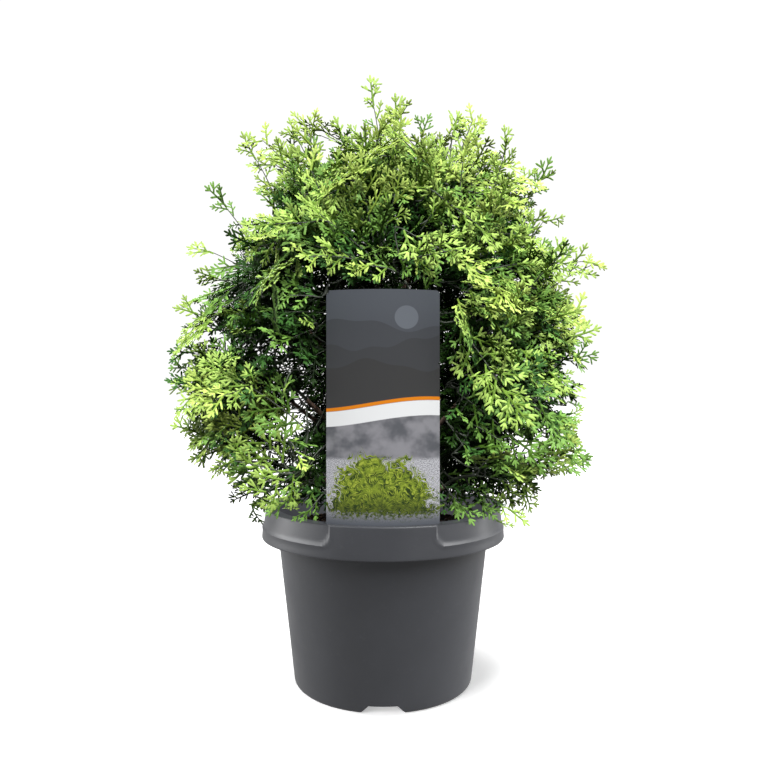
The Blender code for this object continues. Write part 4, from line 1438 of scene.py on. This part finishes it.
def choose_sprays(mass, space, outline, draw, already):
    """Tries many fans round a mass's middle and keeps the widest that end well apart."""
    out = outward(mass.centre)
    lift = SPRAY_LIFT * max(0.0, out.z) - SPRAY_DROOP * (1 - abs(out.z))
    face_out = out.to_track_quat("Z", "Y")
    tried = []
    for spread in spread_directions(SPRAY_TRIES, draw.uniform(0, 6)):
        if spread.z < SPRAY_TURN_BACK:
            continue
        way = face_out @ spread
        axis = (way + UP * lift + random_vector(draw, SPRAY_SCATTER)).normalized()
        normal = out + UP * SPRAY_FACE_UP + random_vector(draw, SPRAY_FACE_SCATTER)
        normal = (normal - axis * normal.dot(axis)).normalized()
        away = SPRAY_TWIG_START if draw.random() < SHARE_ON_TWIGS else SPRAY_SUNK_START
        start = mass.centre + way * away * draw.uniform(0.8, 1.2)
        aim = lambda length: Spray(start, axis, normal, length, False)
        found = widest_spray(aim, space, outline)
        if found:
            tried.append(found)
    tried.sort(key=lambda spray: -spray.length)
    kept = []
    for spray in tried:
        tip = spray.root + spray.axis * spray.length
        spaced = all(
            (tip - other.root - other.axis * other.length).length > SPRAY_SPACING * other.length
            for other in kept
        )
        if spaced and len(kept) + already < SPRAYS_IN_SOLIDS:
            kept.append(spray)
    return kept


def nearest_mass(point, masses):
    return min(masses, key=lambda mass: (mass.centre - point).length_squared)


def main_sprays(mass, space, shoots):
    """The fans of one mass: those that reach the crown's longest shoots, then the others."""
    draw = random.Random(f"{SEED} {mass.name}")
    outline = spray_outline()
    sprays = []
    for place in shoots:
        axis = (place - mass.centre).normalized()
        side = axis.cross(UP).normalized()
        normal = (side.cross(axis) + side * SHOOT_LEAN).normalized()
        aim = lambda length: Spray(place - axis * length, axis, normal, length, True)
        found = widest_spray(aim, space, outline, SHOOT_PAST_CROWN)
        if found:
            sprays.append(found)
    return sprays + choose_sprays(mass, space, outline, draw, len(sprays))


def height_share(point):
    """0 at the height of the crown's middle and 1 at its top."""
    return (point.z - CROWN_MIDDLE) / CROWN_UP


def growing_way(point, draw):
    """Fans leave the trunk's side, hang a little low down and rise more the higher they are."""
    level = Vector((point.x, point.y, 0))
    level = level.normalized() if level.length > NEAR_AXIS else random_vector(draw, 1.0).normalized()
    rise = LOW_RISE + HIGH_RISE * max(0, height_share(point)) ** 1.3
    rise = math.radians(rise + draw.uniform(-RISE_SCATTER, RISE_SCATTER))
    turn = Matrix.Rotation(math.radians(draw.uniform(-TURN_SCATTER, TURN_SCATTER)), 3, "Z")
    flat = turn @ level
    flat.z = 0
    return (flat.normalized() * math.cos(rise) + UP * math.sin(rise)).normalized()


def face_of(point, axis, draw):
    """A fan's upper face: it looks out of the crown and up, more or less, square to its axis."""
    aside = Vector((point.x, point.y, 0)) / CROWN_SIDE
    looks = outward(point) * FACE_OUT + aside * FACE_ASIDE + UP * FACE_UP
    looks += random_vector(draw, FACE_SCATTER)
    return (looks - axis * looks.dot(axis)).normalized()


def seen_at(point):
    """Where the camera sees a point, on the upright plane through the pot's middle."""
    near = CAMERA_AWAY / (CAMERA_AWAY + point.y)
    return point.x * near, CAMERA_HEIGHT + (point.z - CAMERA_HEIGHT) * near


def sky_share(*points):
    """How thickly foliage stands at some points: 1, or less in the windows that show the sky."""
    share = 1.0
    for seen_x, seen_z in map(seen_at, points):
        for x, z, wide, tall, left in SKY_WINDOWS:
            away = math.hypot((seen_x - x) / wide, (seen_z - z) / tall)
            if away < 1:
                share = min(share, left + (1 - left) * away**4)
    return share


def hides_placed_fan(middle):
    """Whether a fan would stand before one of the placed fans, as the front is seen."""
    for foot, tip, _, _ in PLACED_FANS:
        foot, tip = Vector(foot), Vector(tip)
        along = tip - foot
        t = min(1, max(PLACED_FAN_STALK, (middle - foot).dot(along) / along.length_squared))
        near = foot + along * t
        seen_apart = math.hypot(middle.x - near.x, middle.z - near.z)
        if middle.y < near.y - PLACED_FAN_BEFORE and seen_apart < PLACED_FAN_VIEW:
            return True
    return False


def placed_fans(mass, draw):
    """The fans and shoots of a mass whose places are given, which face out of the crown."""
    fans = []
    for places, shoot in ((PLACED_FANS, False), (PLACED_SHOOTS, True)):
        for foot, tip, width, age in places:
            foot, tip = Vector(foot), Vector(tip)
            if nearest_mass(foot.lerp(tip, 0.5), MASSES) is not mass:
                continue
            axis = (tip - foot).normalized()
            looks = outward(tip) * PLACED_OUT + PLACED_LOOKS + random_vector(draw, PLACED_SCATTER)
            normal = (looks - axis * looks.dot(axis)).normalized()
            fans.append(Spray(foot, axis, normal, (tip - foot).length, shoot, False, width, age))
    return fans


def fine_fans(mass, space, taken, draw):
    """Fans at places tried at random in the mass's space, kept where none stands too close."""
    fans = []
    for _ in range(FAN_TRIES):
        middle = mass.centre + random_vector(draw, FAN_SCATTER)
        axis = growing_way(middle, draw)
        normal = face_of(middle, axis, draw)
        length = draw.uniform(FAN_SHORTEST, FAN_LONGEST)
        measure = crown_measure(middle)
        chance = draw.random()
        slender = measure > SHELL_STARTS and draw.random() < SLENDER_SHARE
        if slender:
            axis = (axis + outward(middle) * SLENDER_OUT + UP * SLENDER_UP).normalized()
            normal = face_of(middle, axis, draw)
            length = FAN_LONGEST
        reach, power = (SLENDER_REACH, CROWN_POWER) if slender else (FAN_REACH, FAN_POWER)
        if measure > 1 or nearest_mass(middle, MASSES) is not mass or chance > sky_share(middle):
            continue
        if hides_placed_fan(middle):
            continue
        spacing = FAN_SPACING_SHELL if measure > SHELL_STARTS else FAN_SPACING_INSIDE
        if any((middle - other).length < spacing for other in taken):
            continue
        for _ in range(FAN_SHRINKS):
            fan = Spray(middle - axis * length * 0.5, axis, normal, length, slender, False)
            side = normal.cross(axis)
            ends = np.array([fan.root + axis * length * a + side * length * b for a, b in FAN_CORNERS])
            inside = (crown_measures(ends, power) < reach) & clear_of_pot_and_card(ends)
            if (inside & clear_of_limbs(ends, space)).all():
                fans.append(fan)
                taken.append(middle)
                break
            length *= FAN_SHRINK
    return fans


class Cords:
    """Collects the faces of a frond: each rib and finger is a low roof, shaded round."""

    def __init__(self):
        self.points, self.faces = [], []

    def rib(self, path, widths):
        first = len(self.points)
        for i, (place, width) in enumerate(zip(path, widths)):
            ahead = path[min(i + 1, len(path) - 1)] - path[max(i - 1, 0)]
            side = Vector((-ahead.y, ahead.x, 0)).normalized() * width / 2
            self.points += [place - side, place + UP * width * CORD_RISE, place + side]
        for i in range(first, first + 3 * len(path) - 3, 3):
            self.faces += [(i, i + 3, i + 4, i + 1), (i + 1, i + 4, i + 5, i + 2)]

    def finger(self, start, turn, length, width, lift=0.0):
        way = Vector((math.cos(turn), math.sin(turn), 0))
        side = Vector((-way.y, way.x, 0)) * width / 2
        way = way + UP * lift
        neck, tip = start + way * length * FINGER_NECK, start + way * length
        ridge = UP * width * CORD_RISE
        first = len(self.points)
        self.points += [start - side * FINGER_FOOT, start + side * FINGER_FOOT]
        self.points += [neck - side, neck + ridge, neck + side]
        self.points += [tip - side * FINGER_TIP, tip + side * FINGER_TIP]
        for face in ((0, 2, 3), (0, 3, 1), (1, 3, 4), (2, 5, 3), (3, 5, 6), (3, 6, 4)):
            self.faces.append(tuple(first + i for i in face))


def side_rib(ribs, tips, place, angle, sign, reach, draw):
    """One side rib of a frond: fingers fork off it on alternate sides, and one ends it."""
    lift = draw.uniform(*RIB_LIFT)
    steps = max(1, round(reach / RIB_STEP))
    step = reach / steps
    path = [place]
    for k in range(steps - 1):
        path.append(path[-1] + Vector((math.cos(angle), math.sin(angle), lift)) * step)
        fork = sign if k % 2 else -sign
        for other in (fork,) if draw.random() < SINGLE_FINGERS else (fork, -fork):
            leaning = angle + other * math.radians(draw.uniform(*FINGER_ANGLES))
            size = FINGER_LENGTH * (1.05 - 0.45 * k / steps) * draw.uniform(0.75, 1.15)
            width = CORD_WIDTH * draw.uniform(0.85, 1.05)
            rise = lift + draw.uniform(-FINGER_LIFT, FINGER_LIFT)
            tips.finger(path[-1], leaning, size, width, rise)
        angle -= sign * RIB_CURL
    if steps > 1:
        ribs.rib(path, [CORD_WIDTH * (0.95 - 0.25 * k / steps) for k in range(steps)])
    tips.finger(path[-1], angle, max(step, FINGER_LENGTH) * draw.uniform(0.9, 1.2), CORD_WIDTH, lift)


def frond(length, draw):
    """A flat frond: a rib, side ribs on alternate sides that lean forward, and fingers."""
    ribs, tips = Cords(), Cords()
    bend = draw.uniform(-FROND_BEND, FROND_BEND)
    arch = draw.uniform(*FROND_ARCH)
    count = max(4, round(length / RIB_STEP))
    path = []
    for i in range(count + 1):
        along, turn = length * i / count, bend * i / count
        path.append(Vector((along * math.cos(turn / 2), along * math.sin(turn / 2), -arch * along * along)))
    ribs.rib(path, [CORD_WIDTH * (1.05 - 0.35 * i / count) for i in range(count + 1)])
    for i in range(1, count):
        t = i / count
        sign = 1 if i % 2 else -1
        reach = length * (0.16 + 0.40 * math.sin(math.pi * (0.25 + 0.72 * (1 - t)))) * (1 - 0.40 * t)
        reach = max(SHORTEST_RIB, reach * draw.uniform(0.75, 1.15))
        angle = bend * t + sign * math.radians(draw.uniform(*RIB_ANGLES) - 10 * t)
        side_rib(ribs, tips, path[i], angle, sign, reach, draw)
    for spread in (-0.6, 0.0, 0.6):
        tips.finger(path[-1], bend + spread, FINGER_LENGTH * (0.8 if spread else 1.1), CORD_WIDTH)
    return ribs, tips


def frond_collections():
    """Two hidden sets of fronds, their inner parts and their tips, in the same order."""
    draw = random.Random(SEED + 1)
    sets = [bpy.data.collections.new(f"frond_{part}") for part in ("inner", "tips")]
    index = 0
    for length in FROND_LENGTHS:
        for _ in range(FROND_FORMS):
            for collection, cords in zip(sets, frond(length, draw)):
                name = f"frond_{index:02d}_{collection.name}"
                mesh = mesh_of(name, [tuple(p) for p in cords.points], cords.faces, True)
                collection.objects.link(bpy.data.objects.new(name, mesh))
            index += 1
    return sets


def named_attribute(tree, name, kind):
    made = tree.nodes.new("GeometryNodeInputNamedAttribute")
    made.data_type = kind
    return feed(tree, made, {"Name": name}).outputs["Attribute"]


def vector_math(tree, operation, inputs):
    made = tree.nodes.new("ShaderNodeVectorMath")
    made.operation = operation
    return feed(tree, made, inputs)


def frond_tree():
    """Fronds set on points by their own form, turn and size, made real and gently warped."""
    tree = bpy.data.node_groups.new("fronds", "GeometryNodeTree")
    socket(tree, "Geometry", "Geometry")
    socket(tree, "Fronds", "Collection")
    socket(tree, "Leaf Material", "Material")
    socket(tree, "Warp Size", "Float", WARP_SIZE)
    socket(tree, "Warp Scale", "Float", WARP_SCALE)
    socket(tree, "Geometry", "Geometry", way="OUTPUT")
    given = tree.nodes.new("NodeGroupInput").outputs
    apart = {"Separate Children": True, "Reset Children": True}
    forms = add_node(tree, "GeometryNodeCollectionInfo", {"Collection": given["Fronds"], **apart})
    turn = add_node(tree, "FunctionNodeEulerToRotation", {0: named_attribute(tree, "turn", "FLOAT_VECTOR")})
    each = {
        "Points": given["Geometry"],
        "Instance": forms,
        "Pick Instance": True,
        "Instance Index": named_attribute(tree, "form", "INT"),
        "Rotation": turn,
        "Scale": named_attribute(tree, "size", "FLOAT"),
    }
    placed = add_node(tree, "GeometryNodeInstanceOnPoints", each)
    real = add_node(tree, "GeometryNodeRealizeInstances", {0: placed})
    where = tree.nodes.new("GeometryNodeInputPosition")
    waves = add_node(tree, "ShaderNodeTexNoise", {"Vector": where, "Scale": given["Warp Scale"], "Detail": 1})
    centred = vector_math(tree, "SUBTRACT", {0: waves.outputs["Color"], 1: (0.5, 0.5, 0.5)})
    sized = vector_math(tree, "SCALE", {0: centred, "Scale": given["Warp Size"]})
    warped = add_node(tree, "GeometryNodeSetPosition", {"Geometry": real, "Offset": sized})
    return end_tree(tree, warped, given["Leaf Material"])


def grow_spray(spray, draw):
    """The fronds of one fan: alternate sides of its curved axis, shorter towards its tip."""
    normal_of_fan = spray.normal
    if spray.shoot:
        depth = spray.root.y if spray.root.y > 0.05 else -0.1
        looks = Vector((spray.root.x * 0.5, depth, 0.03)).normalized()
        normal_of_fan = (looks - spray.axis * looks.dot(spray.axis)).normalized()
    side = normal_of_fan.cross(spray.axis)
    bend = draw.uniform(-FAN_BEND, FAN_BEND) * spray.length
    upright = min(1, max(0.1, 1 - height_share(spray.root)))
    nod = draw.uniform(*FAN_NOD) * spray.length * upright
    rib = lambda t: spray.root + spray.axis * spray.length * t + side * bend * t * t - UP * nod * t * t
    count = max(4, round(spray.length / FROND_STEP))
    width = spray.width or (SHOOT_WIDTH if spray.shoot else MAIN_WIDTH if spray.main else FINE_WIDTH)
    made = []
    first = -1 if draw.random() < 0.5 else 1
    for i in range(count):
        t = FRONDS_START + FRONDS_SPAN * i / (count - 1) + draw.uniform(-0.02, 0.02)
        sign = first if i % 2 else -first
        here, ahead = rib(t), rib(t + 0.05)
        along = (ahead - here).normalized()
        angle = math.radians(draw.uniform(*FROND_ANGLES) - 12 * t)
        aside = side * sign
        if spray.shoot:
            aside = Matrix.Rotation(draw.uniform(-1.0, 1.0), 3, along) @ aside
        axis = (along * math.cos(angle) + aside * math.sin(angle)).normalized()
        normal = normal_of_fan + side * sign * draw.uniform(-0.15, 0.45)
        normal += random_vector(draw, FROND_SCATTER)
        normal = (normal - axis * normal.dot(axis)).normalized()
        length = spray.length * width * (1.0 - 0.42 * t) * draw.uniform(0.80, 1.15)
        length = max(SHORTEST_FROND, length)
        made.append((t, here, axis, normal, length))
    here = rib(END_FROND_STARTS)
    axis = (rib(1.0) - here).normalized()
    normal = (normal_of_fan - axis * normal_of_fan.dot(axis)).normalized()
    made.append((END_FROND_STARTS, here, axis, normal, spray.length * END_FROND_SHARE))
    return made, rib


def frond_form(length, draw):
    """Which frond suits a length, and how far it is scaled to it."""
    best = min(range(len(FROND_LENGTHS)), key=lambda i: abs(FROND_LENGTHS[i] - length))
    return best * FROND_FORMS + draw.randrange(FROND_FORMS), length / FROND_LENGTHS[best]


# The tones of the leaves, from the oldest and darkest to the youngest and lightest, each for
# inner parts and tips; the darkest, shade, is near black and is painted shade deep in the
# crown. A fan's age, with painted light and painted shade added to it, decides which it
# takes: the limits lie between one tone and the next.
TONES = {
    "shade": ((0.0030, 0.0096, 0.0010), (0.008, 0.023, 0.003)),
    "deep": ((0.008, 0.024, 0.004), (0.024, 0.068, 0.014)),
    "green": ((0.037, 0.080, 0.010), (0.092, 0.178, 0.036)),
    "fresh": ((0.084, 0.148, 0.020), (0.200, 0.294, 0.064)),
    "lime": ((0.136, 0.204, 0.030), (0.246, 0.332, 0.072)),
    "young": ((0.166, 0.240, 0.040), (0.286, 0.372, 0.090)),
}
TONE_LIMITS = (0.50, 0.66, 0.84, 1.02, 1.16)
MIDDLE_AGE = 0.85
# Fans high in the crown take lighter tones, partly as younger growth and partly as painted light; fans to its
# right take lighter tones as painted light alone.
AGE_AND_LIGHT_UPWARD = 0.08
PAINTED_LIGHT_RIGHTWARD = 0.15
AGE_SCATTER = 0.15
SHOOTS_OLDER = 0.10
# Fronds deep in the crown take darker tones as painted shade, and those near its rim lighter ones, up to a
# limit, as painted light and younger growth.
LEVEL_GAIN = 2.4
LEVEL_MIDDLE = 0.87
MOST_YOUNGER_AND_LIT = 0.13
LEAF_ROUGHNESS = 0.45
LEAF_SPECULAR = 0.07


def leaf_material(name, colour):
    """Scale leaves: waxy, a little mottled, with close rows of scales as a fine relief."""
    made, tree, shader = new_material(name, LEAF_ROUGHNESS)
    darker = tuple(c * 0.72 for c in colour)
    lighter = tuple(min(1, c * 1.25) for c in colour)
    mottled = colour_between(tree, clouds(tree, scale=170, low=0, high=1), darker, lighter)
    feed(tree, shader, {"Base Color": mottled, "Specular IOR Level": LEAF_SPECULAR})
    scales = add_node(tree, "ShaderNodeTexVoronoi", {"Vector": object_place(tree), "Scale": 900})
    relief(tree, shader, scales, strength=0.5, depth=0.0004)
    return made


def age_and_light_of(spray, draw):
    """How young and lit a fan's tone is: lighter at the crown's top, as younger growth and painted light, and
    at its right, as painted light alone, with some scatter.
    """
    if spray.age:
        return spray.age
    age = MIDDLE_AGE + AGE_AND_LIGHT_UPWARD * height_share(spray.root) + PAINTED_LIGHT_RIGHTWARD * spray.root.x
    age += draw.uniform(-AGE_SCATTER, AGE_SCATTER)
    return age - SHOOTS_OLDER if spray.shoot else age


def tone_at(place, spray, age):
    """A frond's tone: as its fan's, darker the deeper it stands in the crown and lighter at its rim, partly
    as older growth and partly as painted shade and light, and lighter or darker in the patches of painted
    light and shade.
    """
    if not spray.age:
        level = crown_measures([place], FAN_POWER)[0] - LEVEL_MIDDLE
        age += min(MOST_YOUNGER_AND_LIT, LEVEL_GAIN * level)
        seen_x, seen_z = seen_at(place)
        # Patches of painted light and shade, seen from the front.
        for x, z, wide, tall, brighter_by in PAINTED_LIGHT_PATCHES:
            away = math.hypot((seen_x - x) / wide, (seen_z - z) / tall)
            age += brighter_by * max(0, 1 - away**3)
    return list(TONES)[sum(age > limit for limit in TONE_LIMITS)]


def points_mesh(name, fronds, draw):
    """One point for each frond, with its form, turn and size as attributes."""
    mesh = mesh_of(name, [tuple(f.root) for f in fronds], [])
    forms, turns, sizes = [], [], []
    for f in fronds:
        form, size = frond_form(f.length, draw)
        side = f.normal.cross(f.axis)
        turn = Matrix((f.axis, side, f.normal)).transposed().to_euler()
        forms.append(form)
        turns += [turn.x, turn.y, turn.z]
        sizes.append(size)
    mesh.attributes.new("form", "INT", "POINT").data.foreach_set("value", forms)
    mesh.attributes.new("turn", "FLOAT_VECTOR", "POINT").data.foreach_set("vector", turns)
    mesh.attributes.new("size", "FLOAT", "POINT").data.foreach_set("value", sizes)
    return add_object(name, mesh)


def in_reach(made, spray):
    """Whether a frond's tip keeps inside the solids' box and the dome, which a shoot leaves."""
    _, here, axis, normal, length = made
    tip = here + axis * length
    low, high = solids_box
    boxed = all(a - BOX_MARGIN < x < b + BOX_MARGIN for a, x, b in zip(low, tip, high))
    wide = normal.cross(axis) * length * 0.35
    outline = [here + axis * length * share + wide * way for share, way in FROND_CORNERS]
    clear = clear_of_pot_and_card(np.array([place - FROND_CLEARANCE for place in outline])).all()
    if spray.shoot:
        domed = bool(spray.age) or tip.z < SHOOTS_FREE_BELOW or crown_measure(tip) < SHOOT_REACH
    elif spray.main or spray.age:
        domed = crown_measure(tip) < MAIN_FROND_REACH
    else:
        domed = crown_measures([tip], FAN_POWER)[0] < FROND_REACH
    return boxed and clear and domed


def in_window(made, spray, draw):
    """Whether a frond is left out where the sky shows through; the placed ones all stay."""
    _, here, axis, _, length = made
    places = [here + axis * length * share for share in (0, 0.5, 1)]
    return not spray.age and draw.random() > sky_share(*places)


def grow_mass(mass, masses, limbs, shoots, points, faces):
    """The fronds of one mass, and its twigs, which are added to the lists."""
    draw = random.Random(f"{SEED} fronds {mass.name}")
    space = space_of(mass, masses, limbs)
    root, way = mass.stem
    knee = root + way * (mass.centre - root).length * 0.4
    path, radii = smooth_path([root - way * STEM_SUNK, knee, mass.centre], STEM_RADII, STEM_STEPS)
    tube(path, radii, STEM_SIDES, points, faces)
    bearing = path[STEM_STEPS:]
    middle_of = lambda spray: spray.root + spray.axis * spray.length * FAN_MIDDLE
    sprays = [
        spray
        for spray in main_sprays(mass, space, shoots)
        if spray.shoot or not hides_placed_fan(middle_of(spray))
    ]
    sprays += placed_fans(mass, draw)
    taken = [middle_of(spray) for spray in sprays]
    sprays += fine_fans(mass, space, taken, draw)
    sprays.sort(key=lambda spray: (spray.root - mass.centre).length)
    fronds = []
    for spray in sprays:
        made, rib = grow_spray(spray, draw)
        age = age_and_light_of(spray, draw)
        kept = [one for one in made if in_reach(one, spray) and not in_window(one, spray, draw)]
        if len(kept) < len(made) * SPARSEST_FAN:
            continue
        for t, *place_and_size in kept:
            tone = tone_at(place_and_size[0], spray, age + YOUNGER_TO_TIP * (t - TONE_MIDDLE))
            fronds.append(Frond(*place_and_size, tone))
        rib = [rib(t) for t in np.linspace(0, max(one[0] for one in kept), 5)]
        start = min(bearing, key=lambda place: (place - spray.root).length_squared)
        if (spray.root - start).length > TWIG_LEAVES_OUT:
            elbow = start.lerp(spray.root, 0.5) - UP * (spray.root - start).length * TWIG_SAG
            rib = [start, elbow] + rib
        path, radii = smooth_path(rib, np.linspace(TWIG_RADIUS * 0.8, TWIG_TIP_RADIUS, len(rib)), 2)
        tube(path, radii, TWIG_SIDES, points, faces)
        bearing += path[: len(path) // 2]
    return fronds


def press_behind_card(mesh):
    """What would poke through the card lies against its back instead."""
    places = np.empty(len(mesh.vertices) * 3)
    mesh.vertices.foreach_get("co", places)
    places = places.reshape(-1, 3)
    x, y, z = places.T
    away = np.hypot(x, y)
    behind = CARD_RADIUS - CARD_GAP
    across = (np.abs(x) < CARD_WIDTH / 2 + CARD_GAP) & (z < CARD_TOP + CARD_GAP) & (y < 0)
    through = across & (away > behind) & (away < CARD_RADIUS + CARD_POKE)
    places[through, :2] *= (behind / away[through])[:, None]
    mesh.vertices.foreach_set("co", places.ravel())
    mesh.update()
    return mesh


def make_foliage(masses):
    limbs = [trunk_limb()] + [mass.bough for mass in masses if mass.bough]
    shoots = [around(*shoot) for shoot in SHOOTS]
    names = [f"foliage_{mass.name}" for mass in masses]
    fronds, points, faces = [], [], []
    for mass in masses:
        mine = [place for place in shoots if nearest_mass(place, masses) is mass]
        fronds += grow_mass(mass, masses, limbs, mine, points, faces)
    twigs = press_behind_card(mesh_of("twigs", points, faces, True))
    pieces = [(add_object("twigs", twigs, bark_material("twig_bark", *TWIG_BARK)), "bark")]
    tree, sets = frond_tree(), frond_collections()
    for tone, colours in TONES.items():
        mine = [f for f in fronds if f.tone == tone]
        for part, collection, colour in zip(("inner", "tips"), sets, colours):
            name = f"leaves_{tone}_{part}"
            draw = random.Random(f"{SEED} forms {tone}")
            seeds = points_mesh(name, mine, draw)
            values = {"Fronds": collection, "Leaf Material": leaf_material(f"leaf_{tone}_{part}", colour)}
            mesh = press_behind_card(grown(seeds, tree, values))
            mesh.name = name
            pieces.append((add_object(name, mesh), "foliage"))
    for piece, slot in pieces:
        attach(piece, "root")
        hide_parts(*names)


make_foliage(MASSES)
